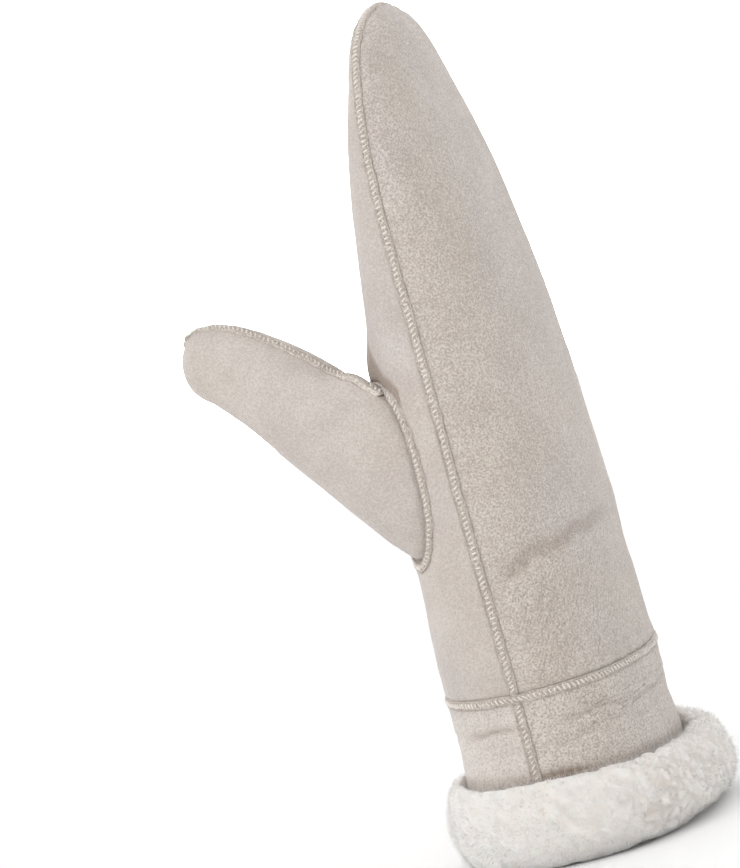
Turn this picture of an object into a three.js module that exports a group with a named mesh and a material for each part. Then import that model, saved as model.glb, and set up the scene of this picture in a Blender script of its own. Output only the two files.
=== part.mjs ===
// A right-hand shearling mitten that stands on its turned wool cuff.
// Millimetres. +Z runs from the cuff to the fingertips, +X is the back of the hand, -X the palm
// and the thumb, and -Y the edge of the hand that the thumb grows from.
import * as THREE from "three";

// Sizes of the hand and its hide
const BODY_LENGTH = 237; // hem seam to fingertip
const HAND_WIDTH = 107; // across the knuckles
const HAND_DEPTH = 70.5; // back to palm at the hem seam
const ROUNDNESS = 2.25; // of a section: 2 is an ellipse, more is squarer
const HIDE = 3; // thickness of the hide
const CLEARANCE = 0.3; // between a seam and the hide on each side of it

// Sizes of the cuff
const HEM_HEIGHT = 58; // hem seam above the surface that the mitten stands on
const BAND_EDGE = 9; // lower edge of the band, inside the wool
const FOLD_FADE = 5; // above the wool, where the folds in the band begin
const BAND_FLARE = 2; // how far the band's depth grows on its way down, each side
const WOOL_HEIGHT = 30.5; // of the turned wool
const WOOL_DIP = 4.5; // how much lower its top lies on the back of the hand
const WOOL_DEPTH = 11.5; // how far the turned wool stands out from the band
const LINING_DEPTH = 7; // wool on the inside of the band
const BACK_FULLNESS = 0.3; // share by which the wool is fuller on the back of the hand
const LOCK_RELIEF = 1.5; // how far a lock of wool stands out
const LOCKS_AROUND = 40;

// Sizes of the thumb
const THUMB_REACH = 69; // from the palm to the thumb's tip
const THUMB_RISE = 55; // the tip above the middle of the thumb's root
const THUMB_WIDTH = 37;
const THUMB_DEPTH = 31;
const ROOT_HEIGHT = 80; // middle of the root above the hem seam
const ROOT_HALF_LENGTH = 31.5; // of the opening that the thumb is sewn into
const ROOT_ANGLE = 44; // degrees round the section, from the thumb edge to the root's middle
const ROOT_HALF_ANGLE = 26;
const ROOT_ROUNDNESS = 2.3;
const ROOT_MARGIN = 4; // of finer faces in the palm, round the root's seam
const THUMB_INWARD = 11; // how far the tip leans over the palm
const THUMB_SEAM_ANGLE = 17; // degrees that the thumb's seam lies from its top, away from the palm's middle
const ROOT_BEND = 0.35; // how roundly the root bends into the thumb
const ROOT_LIFT = 5.5; // how far the root stands out before it bends

// Sizes of the seams
const SEAM_WIDTH = 2.4;
const SEAM_RISE = 0.9; // how far a seam stands out from the hide

// How finely the surfaces are divided
const HAND_ROWS = 30;
const HALF_COLUMNS = 16; // across the back or the palm
const BAND_ROWS = 5; // of the band above the wool, with two more under it
const THUMB_ROOT_ROWS = 5;
const THUMB_ROWS = 17; // with those at the root
const THUMB_COLUMNS = 20;
const SEAM_ROWS = 15; // rows of the thumb that its seam runs along, before the slot closes in one more
const ROOT_RINGS = 2; // rings of faces between the opening's edge and the grid of the palm
const SEAM_STEP = 8;
const WOOL_COLUMNS = 2 * LOCKS_AROUND;

// Sections of the hand from the hem seam to the fingertip. height is a share of BODY_LENGTH, width of
// HAND_WIDTH, depth of HAND_DEPTH, and seam, which moves the side seams towards the back of the hand,
// of the section's own depth.
const HAND = [
  { height: 0.0, width: 0.94, depth: 1.0, seam: 0.03 },
  { height: 0.1, width: 0.966, depth: 0.962, seam: 0.03 },
  { height: 0.2, width: 0.99, depth: 0.938, seam: 0.03 },
  { height: 0.35, width: 1.0, depth: 0.882, seam: 0.02 },
  { height: 0.5, width: 0.983, depth: 0.81, seam: 0.0 },
  { height: 0.625, width: 0.957, depth: 0.71, seam: -0.04 },
  { height: 0.725, width: 0.938, depth: 0.59, seam: -0.08 },
  { height: 0.8125, width: 0.89, depth: 0.46, seam: -0.1 },
  { height: 0.883, width: 0.794, depth: 0.33, seam: -0.1 },
  { height: 0.9375, width: 0.641, depth: 0.25, seam: -0.1 },
  { height: 0.975, width: 0.422, depth: 0.185, seam: -0.08 },
  { height: 1.0, width: 0.0, depth: 0.0, seam: -0.05 },
];

// Sections of the thumb from its root to its tip, as shares of the thumb's sizes.
const THUMB = [
  { reach: 0.0, rise: 0.0, width: 1.1, depth: 1.1 },
  { reach: 0.34, rise: 0.47, width: 1.0, depth: 1.0 },
  { reach: 0.528, rise: 0.7, width: 0.89, depth: 0.94 },
  { reach: 0.735, rise: 0.895, width: 0.79, depth: 0.8 },
  { reach: 0.865, rise: 0.96, width: 0.7, depth: 0.68 },
  { reach: 0.9456, rise: 0.985, width: 0.51, depth: 0.48 },
  { reach: 1.0, rise: 1.0, width: 0.0, depth: 0.0 },
];

// Folds and hollows pressed into the hide. height is above the surface, as a share of HEM_HEIGHT plus
// BODY_LENGTH, and so is spread, its half height. angle is the middle and reach the half length, in
// degrees round the section from the thumb edge, with the back of the hand positive. slope climbs with
// the angle, as a share for each 90 degrees, and depth is a share of HIDE, where minus is a bulge.
const FOLDS = [
  { name: "wrist crease on the back", height: 0.318, spread: 0.012, angle: 88, reach: 60, slope: 0.02, depth: 0.32 },
  { name: "hollow above the hem", height: 0.232, spread: 0.02, angle: 60, reach: 45, slope: 0.03, depth: 0.25 },
  { name: "heel of the hand", height: 0.27, spread: 0.045, angle: -60, reach: 40, slope: 0, depth: -0.35 },
  { name: "wrist crease on the palm", height: 0.3, spread: 0.014, angle: -120, reach: 45, slope: 0.01, depth: 0.3 },
  { name: "upper crease of the band", height: 0.168, spread: 0.012, angle: 70, reach: 55, slope: 0.03, depth: 0.35 },
  { name: "trough above the wool", height: 0.137, spread: 0.016, angle: 100, reach: 80, slope: 0, depth: 0.45 },
  { name: "pucker by the thumb edge", height: 0.147, spread: 0.012, angle: -25, reach: 22, slope: -0.02, depth: 0.4 },
  { name: "trough on the palm side", height: 0.14, spread: 0.014, angle: -110, reach: 60, slope: 0.01, depth: 0.4 },
];

const SEAM_GAP = SEAM_WIDTH / 2 + CLEARANCE; // from a seam's middle to the hide's edge
const LAST_HAND_ROW = HAND.length - 1;
const LAST_THUMB_ROW = THUMB.length - 1;
const TURN = 2 * Math.PI;

const radians = THREE.MathUtils.degToRad;

// A column of a table, as one smooth curve through its rows. Past the last row the table is mirrored,
// with the given sign, so that a width which comes down to nothing there makes a round end.
function column(rows, key, at, sign = 1) {
  const last = rows.length - 1;
  const value = (i) => (i > last ? sign * rows[2 * last - i][key] : rows[Math.max(i, 0)][key]);
  const i = Math.min(Math.max(Math.floor(at), 0), last - 1);
  const t = at - i;
  const [a, b, c, d] = [i - 1, i, i + 1, i + 2].map(value);
  return b + 0.5 * t * (c - a + t * (2 * a - 5 * b + 4 * c - d + t * (3 * (b - c) + d - a)));
}

// A point's share along one axis of a rounded section, for a sine or cosine.
const rounded = (s, roundness) => Math.sign(s) * Math.abs(s) ** (2 / roundness);

// The hand's section at a row of the table, which may lie between two rows.
function handSection(at) {
  return {
    z: HEM_HEIGHT + BODY_LENGTH * column(HAND, "height", at),
    halfWidth: (HAND_WIDTH / 2) * column(HAND, "width", at, -1),
    halfDepth: (HAND_DEPTH / 2) * column(HAND, "depth", at, -1),
    seam: column(HAND, "seam", at),
  };
}

// The band's section at a height. It carries on from the hand's first section and flares a little.
function bandSection(z) {
  const hem = handSection(0);
  const down = (HEM_HEIGHT - z) / HEM_HEIGHT;
  return { ...hem, z, halfDepth: hem.halfDepth + BAND_FLARE * down };
}

// How far the folds press the hide in at a height and an angle.
function foldDepth(z, angle) {
  const share = z / (HEM_HEIGHT + BODY_LENGTH);
  const degrees = THREE.MathUtils.radToDeg(angle);
  let depth = 0;
  for (const fold of FOLDS) {
    const aside = THREE.MathUtils.euclideanModulo(degrees - fold.angle + 180, 360) - 180;
    const above = share - fold.height - (fold.slope * aside) / 90;
    const fade = Math.exp(-((aside / fold.reach) ** 4)) * Math.exp(-((above / fold.spread) ** 2));
    depth += HIDE * fold.depth * fade;
  }
  return depth * THREE.MathUtils.smoothstep(z, WOOL_HEIGHT, WOOL_HEIGHT + FOLD_FADE);
}

// A point on a section. The angle runs from the thumb edge, with the back of the hand positive.
function onSection(section, angle) {
  const across = rounded(Math.cos(angle), ROUNDNESS);
  const out = rounded(Math.sin(angle), ROUNDNESS);
  const point = new THREE.Vector3(section.halfDepth * out, -section.halfWidth * across, 0);
  const size = Math.max(point.length(), 1e-6);
  point.multiplyScalar(Math.max(1 - foldDepth(section.z, angle) / size, 0));
  return point.setZ(section.z);
}

const handSkin = (at, angle) => onSection(handSection(at), angle);
const bandSkin = (z, angle) => onSection(bandSection(z), angle);

// The angle at which a section's skin lies a distance from its middle plane.
function angleAt(section, distance) {
  const share = Math.min(Math.max(distance / section.halfDepth, -1), 1);
  return Math.asin(Math.sign(share) * Math.abs(share) ** (ROUNDNESS / 2));
}

// The row of the table that lies at a height above the hem seam.
function rowAtHeight(above) {
  let low = 0;
  let high = LAST_HAND_ROW;
  for (let step = 0; step < 40; step++) {
    const middle = (low + high) / 2;
    if (handSection(middle).z - HEM_HEIGHT < above) low = middle;
    else high = middle;
  }
  return low;
}

// The outward normal of a surface, away from a point inside it.
function outward(surface, p, q, inside) {
  const step = 1e-3;
  const alongP = surface(p + step, q).sub(surface(p - step, q));
  const alongQ = surface(p, q + step).sub(surface(p, q - step));
  const normal = alongP.cross(alongQ).normalize();
  return normal.dot(surface(p, q).sub(inside)) < 0 ? normal.negate() : normal;
}

// The edge of the hand as a curve, which spaces the rows evenly over the fingertip.
class HandEdge extends THREE.Curve {
  getPoint(t, target = new THREE.Vector3()) {
    const { z, halfWidth } = handSection(t * LAST_HAND_ROW);
    return target.set(0, halfWidth, z);
  }
}
const handEdge = new HandEdge();
handEdge.arcLengthDivisions = 400;

// The table row at an even share of the way along the edge of the hand.
const evenRow = (share) => handEdge.getUtoTmapping(share) * LAST_HAND_ROW;

// A geometry from points and faces of three or four corners, turned to face outwards.
function closedGeometry(points, faces) {
  const index = faces.flatMap((f) => (f.length === 4 ? [f[0], f[1], f[2], f[0], f[2], f[3]] : f));
  let volume = 0;
  for (let i = 0; i < index.length; i += 3) {
    const [a, b, c] = [points[index[i]], points[index[i + 1]], points[index[i + 2]]];
    volume += a.dot(new THREE.Vector3().crossVectors(b, c));
  }
  if (volume < 0) index.reverse();
  const geometry = new THREE.BufferGeometry().setFromPoints(points);
  geometry.setIndex(index);
  geometry.computeVertexNormals();
  return geometry;
}

// Points that lie in one place share one number.
function shared(points) {
  const seen = new Map();
  return points.map((point, i) => {
    const key = point.toArray().map((x) => x.toFixed(3)).join();
    if (!seen.has(key)) seen.set(key, i);
    return seen.get(key);
  });
}

// A sheet of hide as a closed wall. spots are places on a surface, and faces join four of them.
// Edges with a face on one side only get a rim. keep moves a point of the inner face where it would
// run into a neighbour.
function hideSheet(spots, faces, surface, inside, keep = (point) => point) {
  const outer = spots.map(([p, q]) => surface(p, q));
  const same = shared(outer);
  const inner = spots.map(([p, q], i) => {
    const normal = outward(surface, p, q, inside(p));
    return keep(outer[i].clone().addScaledVector(normal, -HIDE), p);
  });
  const clean = faces
    .map((face) => face.map((i) => same[i]).filter((spot, k, all) => spot !== all[(k + 1) % all.length]))
    .filter((face) => face.length > 2);
  const count = spots.length;
  const walls = [];
  const edges = new Set();
  for (const face of clean) face.forEach((a, k) => edges.add(`${a},${face[(k + 1) % face.length]}`));
  for (const edge of edges) {
    const [a, b] = edge.split(",").map(Number);
    if (!edges.has(`${b},${a}`)) walls.push([b, a, a + count, b + count]);
  }
  const lining = clean.map((face) => face.map((i) => i + count).reverse());
  return closedGeometry([...outer, ...inner], [...clean, ...lining, ...walls]);
}

// A grid of spots, rows by columns, and its faces.
function grid(rows, columns, spot) {
  const spots = [];
  const faces = [];
  for (let i = 0; i <= rows; i++) for (let j = 0; j <= columns; j++) spots.push(spot(i, j));
  const at = (i, j) => i * (columns + 1) + j;
  for (let i = 0; i < rows; i++) {
    for (let j = 0; j < columns; j++) faces.push([at(i, j), at(i, j + 1), at(i + 1, j + 1), at(i + 1, j)]);
  }
  return { spots, faces, at };
}

// The lowest and highest table rows of a hand panel, clear of the hem seam and the fingertip seam.
const firstRowShare = SEAM_GAP / handEdge.getLength();
const lastRow = (side) => {
  let at = LAST_HAND_ROW;
  while (handSection(at).halfDepth * (1 - side * handSection(at).seam) < SEAM_GAP) at -= 1e-3;
  return at;
};

// The angle of a panel's spot. side is 1 for the back and -1 for the palm, and share runs across it.
function panelAngle(section, side, share) {
  const from = angleAt(section, section.halfDepth * section.seam + side * SEAM_GAP);
  return THREE.MathUtils.lerp(from, side * Math.PI - from, share);
}

// A spot of a hand panel's grid, from shares of the way up and across.
function panelSpot(side, up, across) {
  const share = THREE.MathUtils.lerp(firstRowShare, 1, up);
  const at = Math.min(evenRow(share), lastRow(side));
  return [at, panelAngle(handSection(at), side, across)];
}

function handMiddle(at) {
  const { z, halfDepth } = handSection(Math.min(at, LAST_HAND_ROW));
  return new THREE.Vector3(0, 0, z - halfDepth);
}

// Keeps a panel's inner face on its own side of the side seam, where the fingertip is thin.
const ownSide = (side) => (point, at) => {
  const { halfDepth, seam } = handSection(Math.min(at, LAST_HAND_ROW));
  const limit = halfDepth * seam + side * SEAM_GAP;
  return point.setX(side > 0 ? Math.max(point.x, limit) : Math.min(point.x, limit));
};

function backPanel() {
  const { spots, faces } = grid(HAND_ROWS, HALF_COLUMNS, (i, j) =>
    panelSpot(1, i / HAND_ROWS, j / HALF_COLUMNS),
  );
  return hideSheet(spots, faces, handSkin, handMiddle, ownSide(1));
}

// A spot on the edge of the thumb's opening. turn runs round it from the thumb edge, and grow is how
// far outside the line of the seam the spot lies.
function rootSpot(turn, grow) {
  const up = (ROOT_HALF_LENGTH + grow) * rounded(Math.sin(turn), ROOT_ROUNDNESS);
  const at = rowAtHeight(ROOT_HEIGHT + up);
  const { halfWidth, halfDepth } = handSection(at);
  const growAngle = grow / Math.sqrt(halfWidth * halfDepth);
  const aside = (radians(ROOT_HALF_ANGLE) + growAngle) * rounded(Math.cos(turn), ROOT_ROUNDNESS);
  return [at, -radians(ROOT_ANGLE) + aside];
}

// The palm: a grid with a block taken out round the thumb, and rings of faces from the block's edge to
// the edge of the opening.
function palmPanel() {
  const spotAt = (i, j) => panelSpot(-1, i / HAND_ROWS, j / HALF_COLUMNS);
  const { spots, faces, at } = grid(HAND_ROWS, HALF_COLUMNS, spotAt);
  const rowsUnder = (height) => {
    const limit = rowAtHeight(height);
    let i = 0;
    while (i < HAND_ROWS && spotAt(i, 0)[0] < limit) i++;
    return i;
  };
  const margin = ROOT_MARGIN + SEAM_GAP;
  const low = Math.max(rowsUnder(ROOT_HEIGHT - ROOT_HALF_LENGTH - margin) - 1, 1);
  const high = rowsUnder(ROOT_HEIGHT + ROOT_HALF_LENGTH + margin);
  const columnShare = (degrees) => (degrees / 180) * HALF_COLUMNS;
  const near = Math.max(Math.round(columnShare(ROOT_ANGLE - ROOT_HALF_ANGLE)) - 1, 1);
  const far = Math.round(columnShare(ROOT_ANGLE + ROOT_HALF_ANGLE)) + 1;

  // The block's edge, starting at its near lower corner.
  const loop = [];
  for (let i = low; i < high; i++) loop.push([i, near]);
  for (let j = near; j < far; j++) loop.push([high, j]);
  for (let i = high; i > low; i--) loop.push([i, far]);
  for (let j = far; j > near; j--) loop.push([low, j]);

  const middle = [(low + high) / 2, (near + far) / 2];
  const half = [(high - low) / 2, (far - near) / 2];
  const rims = loop.map(([i, j]) => {
    const turn = Math.atan2((i - middle[0]) / half[0], (middle[1] - j) / half[1]);
    return rootSpot(turn, SEAM_GAP + CLEARANCE);
  });
  const rings = [loop.map(([i, j]) => at(i, j))];
  for (let ring = 1; ring <= ROOT_RINGS; ring++) {
    rings.push(
      loop.map(([i, j], k) => {
        const share = ring / ROOT_RINGS;
        const [row, angle] = spots[at(i, j)];
        const spot = [
          THREE.MathUtils.lerp(row, rims[k][0], share),
          THREE.MathUtils.lerp(angle, rims[k][1], share),
        ];
        return spots.push(spot) - 1;
      }),
    );
  }
  const kept = faces.filter((_, f) => {
    const i = Math.floor(f / HALF_COLUMNS);
    const j = f % HALF_COLUMNS;
    return i < low || i >= high || j < near || j >= far;
  });
  for (let ring = 0; ring < ROOT_RINGS; ring++) {
    const [from, to] = [rings[ring], rings[ring + 1]];
    from.forEach((spot, k) => {
      const next = (k + 1) % from.length;
      kept.push([spot, to[k], to[next], from[next]]);
    });
  }
  return hideSheet(spots, kept, handSkin, handMiddle, ownSide(-1));
}

// The middle line of the thumb, and its width and depth, at a row of its table.
function thumbSection(at) {
  const [rootRow, rootAngle] = [rowAtHeight(ROOT_HEIGHT), -radians(ROOT_ANGLE)];
  const root = handSkin(rootRow, rootAngle);
  const reach = column(THUMB, "reach", at);
  return {
    middle: root.add(
      new THREE.Vector3(-THUMB_REACH * reach, THUMB_INWARD * reach, THUMB_RISE * column(THUMB, "rise", at)),
    ),
    halfWidth: (THUMB_WIDTH / 2) * column(THUMB, "width", at, -1),
    halfDepth: (THUMB_DEPTH / 2) * column(THUMB, "depth", at, -1),
  };
}

// The way that the thumb points at a row, and the way that its seam faces.
function thumbWays(at) {
  const row = Math.min(at, LAST_THUMB_ROW - 0.02);
  const along = thumbSection(row + 0.01).middle.sub(thumbSection(row - 0.01).middle).normalize();
  const near = new THREE.Vector3(0, -1, 0);
  near.addScaledVector(along, -near.dot(along)).normalize();
  return { along, near, up: new THREE.Vector3().crossVectors(along, near) };
}

// The thumb's skin beyond its root, as a tube. turn runs round it from the side that faces away from
// the palm's middle, and the top of the thumb is a quarter turn on.
function tubeSkin(at, turn) {
  const { middle, halfWidth, halfDepth } = thumbSection(at);
  const { near, up } = thumbWays(at);
  return middle
    .addScaledVector(up, halfWidth * rounded(Math.sin(turn), ROUNDNESS))
    .addScaledVector(near, halfDepth * rounded(Math.cos(turn), ROUNDNESS));
}

// The thumb's skin with its root, which comes straight out of the opening in the palm and bends over
// into the tube.
function thumbSkin(at, turn) {
  if (at >= 1) return tubeSkin(at, turn);
  const [row, angle] = rootSpot(turn, -SEAM_GAP - CLEARANCE);
  const onPalm = handSkin(row, angle);
  const out = outward(handSkin, row, angle, handMiddle(row));
  const onTube = tubeSkin(1, turn);
  const bend = ROOT_BEND * onPalm.distanceTo(onTube);
  const start = onPalm.clone().addScaledVector(out, -HIDE);
  const leaving = onPalm.clone().addScaledVector(out, ROOT_LIFT);
  const joining = onTube.clone().addScaledVector(thumbWays(1).along, -bend);
  return new THREE.CubicBezierCurve3(start, leaving, joining, onTube).getPoint(at);
}

const thumbMiddle = (at) => thumbSection(Math.min(at, LAST_THUMB_ROW - 0.2)).middle;

// A row of the thumb's grid as a row of its table.
function thumbRow(i) {
  if (i < THUMB_ROOT_ROWS) return (i / THUMB_ROOT_ROWS) ** 1.3;
  return 1 + ((LAST_THUMB_ROW - 1) * (i - THUMB_ROOT_ROWS)) / (THUMB_ROWS - THUMB_ROOT_ROWS);
}

// How far the slot for the thumb's seam is open: 1 along the seam, closing to 0 in one row.
function slotOpen(at) {
  const [closing, closed] = [thumbRow(SEAM_ROWS), thumbRow(SEAM_ROWS + 1)];
  return THREE.MathUtils.clamp((closed - at) / (closed - closing), 0, 1);
}

// The seam's place round the thumb, and the ways out of the hide and across the seam there.
const SEAM_TURN = Math.PI / 2 - radians(THUMB_SEAM_ANGLE);
function seamWays(at) {
  const row = Math.max(at, 1);
  const out = outward(tubeSkin, row, SEAM_TURN, thumbMiddle(row));
  return { out, across: new THREE.Vector3().crossVectors(out, thumbWays(row).along).normalize() };
}

// Where the slot that the seam fills ends on one side, as a turn round the thumb.
function slotEnd(at, side) {
  const row = Math.max(at, 1);
  const wider = at < 1 ? 1.6 : 1; // where the root bends
  const half = wider * SEAM_GAP * slotOpen(at);
  const { across } = seamWays(at);
  const middle = tubeSkin(row, SEAM_TURN);
  let [near, far] = [0, 1.2];
  for (let step = 0; step < 30; step++) {
    const turn = (near + far) / 2;
    const aside = Math.abs(tubeSkin(row, SEAM_TURN + side * turn).sub(middle).dot(across));
    if (aside < half) near = turn;
    else far = turn;
  }
  return SEAM_TURN + side * near;
}

// Keeps the thumb's inner face clear of the slot, where the thumb is thin.
function besideSlot(point, at) {
  const { out, across } = seamWays(at);
  const fromSeam = point.clone().sub(tubeSkin(Math.max(at, 1), SEAM_TURN));
  const aside = across.dot(fromSeam);
  const short = SEAM_GAP * slotOpen(at) - Math.abs(aside);
  const fromMiddle = point.clone().sub(thumbMiddle(at));
  if (at < 1 || out.dot(fromMiddle) < 0 || short < 0) return point;
  return point.addScaledVector(across, Math.sign(aside) * short);
}

function thumbPiece() {
  const { spots, faces } = grid(THUMB_ROWS, THUMB_COLUMNS, (i, j) => {
    const at = thumbRow(i);
    return [at, THREE.MathUtils.lerp(slotEnd(at, 1), TURN + slotEnd(at, -1), j / THUMB_COLUMNS)];
  });
  return hideSheet(spots, faces, thumbSkin, thumbMiddle, besideSlot);
}

// Heights on the band: its lower edge, halfway up under the wool, and rows from there to the hem seam.
function bandHeights(rows) {
  const heights = [BAND_EDGE, (BAND_EDGE + WOOL_HEIGHT) / 2];
  const top = HEM_HEIGHT - SEAM_GAP;
  for (let i = 0; i <= rows; i++) heights.push(THREE.MathUtils.lerp(WOOL_HEIGHT, top, i / rows));
  return heights;
}

// A half of the band below the hem seam. side is 1 for the back and -1 for the palm.
function bandPanel(side) {
  const heights = bandHeights(BAND_ROWS);
  const { spots, faces } = grid(heights.length - 1, HALF_COLUMNS, (i, j) => {
    const z = heights[i];
    return [z, panelAngle(bandSection(z), side, j / HALF_COLUMNS)];
  });
  return hideSheet(spots, faces, bandSkin, (z) => new THREE.Vector3(0, 0, z));
}

// A sewn seam: the two raw edges and the thread over them, as a low ridge along a path of points
// with their outward normals.
function seamRidge(path, closed) {
  const half = SEAM_WIDTH / 2;
  const profile = [
    [-half, -HIDE],
    [-half, 0.25 * SEAM_RISE],
    [-0.5 * half, SEAM_RISE],
    [0.5 * half, SEAM_RISE],
    [half, 0.25 * SEAM_RISE],
    [half, -HIDE],
  ];
  const last = path.length - 1;
  const points = path.flatMap(({ point, normal, scale = 1, rise = 1 }, i) => {
    const before = path[closed ? (i + last) % path.length : Math.max(i - 1, 0)].point;
    const after = path[closed ? (i + 1) % path.length : Math.min(i + 1, last)].point;
    const along = after.clone().sub(before).normalize();
    const side = new THREE.Vector3().crossVectors(along, normal).normalize();
    const up = new THREE.Vector3().crossVectors(side, along);
    return profile.map(([aside, out]) => {
      const height = out * (out > 0 ? rise : 1);
      return point.clone().addScaledVector(side, aside * scale).addScaledVector(up, height * scale);
    });
  });
  const sides = profile.length;
  const faces = [];
  const steps = closed ? path.length : last;
  for (let i = 0; i < steps; i++) {
    const [here, there] = [i * sides, ((i + 1) % path.length) * sides];
    for (let k = 0; k < sides; k++) {
      const next = (k + 1) % sides;
      faces.push([here + k, here + next, there + next, there + k]);
    }
  }
  if (!closed) {
    const end = last * sides;
    for (let k = 1; k < sides - 1; k++) {
      faces.push([0, k + 1, k], [end, end + k, end + k + 1]);
    }
  }
  return closedGeometry(points, faces);
}

// A point of a seam on a surface, with the normal that it stands along.
const seamPoint = (surface, p, q, inside, more) => ({
  point: surface(p, q),
  normal: outward(surface, p, q, inside),
  ...more,
});

// A point of a seam at the hand's edge, which stands straight out from it.
function edgePoint(surface, p, q, inside, more) {
  const spot = seamPoint(surface, p, q, inside, more);
  spot.normal.setX(0).normalize();
  return spot;
}

// The seam between back and palm: up the thumb edge, over the fingertip and down the other edge.
function sideSeam() {
  const steps = Math.round(handEdge.getLength() / SEAM_STEP);
  const up = [];
  const down = [];
  for (let i = 0; i < steps; i++) {
    const at = evenRow(THREE.MathUtils.lerp(firstRowShare, 1, i / steps));
    const section = handSection(at);
    const angle = angleAt(section, section.halfDepth * section.seam);
    up.push(edgePoint(handSkin, at, angle, handMiddle(at)));
    down.unshift(edgePoint(handSkin, at, Math.PI - angle, handMiddle(at)));
  }
  const tip = { point: handSkin(LAST_HAND_ROW, 0), normal: new THREE.Vector3(0, 0, 1) };
  return seamRidge([...up, tip, ...down], false);
}

// The seam round the hem, between the hand and the band.
function hemSeam() {
  const { halfWidth, halfDepth } = handSection(0);
  const steps = Math.round((TURN * Math.sqrt(halfWidth * halfDepth)) / SEAM_STEP);
  const path = [];
  for (let i = 0; i < steps; i++) {
    const middle = new THREE.Vector3(0, 0, HEM_HEIGHT);
    path.push(seamPoint(bandSkin, HEM_HEIGHT, (TURN * i) / steps, middle));
  }
  return seamRidge(path, true);
}

// A seam down the band at one edge of the hand. turned is 0 at the thumb edge and 1 at the other.
// Under the wool it lies flat.
function bandSeam(turned) {
  const path = bandHeights(BAND_ROWS).map((z) => {
    const section = bandSection(z);
    const angle = angleAt(section, section.halfDepth * section.seam);
    const middle = new THREE.Vector3(0, 0, z);
    const rise = z > WOOL_HEIGHT ? 1 : 0;
    return edgePoint(bandSkin, z, turned ? Math.PI - angle : angle, middle, { rise });
  });
  return seamRidge(path, false);
}

// The seam round the thumb's root, where it is sewn into the palm. It stands between the palm's skin
// and the thumb's own.
function rootSeam() {
  const steps = Math.round((TURN * ROOT_HALF_LENGTH * 0.8) / SEAM_STEP) + 2;
  const path = [];
  for (let i = 0; i < steps; i++) {
    const [at, angle] = rootSpot((TURN * i) / steps, 0);
    path.push(seamPoint(handSkin, at, angle, handMiddle(at)));
  }
  return seamRidge(path, true);
}

// The seam along the top of the thumb, from the root to near the tip.
function thumbSeam() {
  const rows = [];
  for (let i = THUMB_ROOT_ROWS - 2; i <= SEAM_ROWS; i += 0.5) rows.push(thumbRow(i));
  rows.push(thumbRow(SEAM_ROWS + 0.6));
  const path = rows.map((at) => {
    const scale = slotOpen(at);
    return seamPoint(thumbSkin, at, SEAM_TURN, thumbMiddle(at), { scale });
  });
  return seamRidge(path, false);
}

// How far a lock of wool stands out at a column and row of the wool's grid. Locks stand in staggered
// rows, each a little fuller or thinner than the next.
function lockRelief(columnIndex, rowIndex) {
  const staggered = (columnIndex + rowIndex) % 2 === 0 ? 1 : 0;
  const wander = Math.sin(columnIndex * 1.7 + rowIndex * 2.9) + Math.sin(columnIndex * 0.61 - rowIndex * 1.3);
  return LOCK_RELIEF * (staggered - 0.5 + 0.3 * wander);
}

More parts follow.
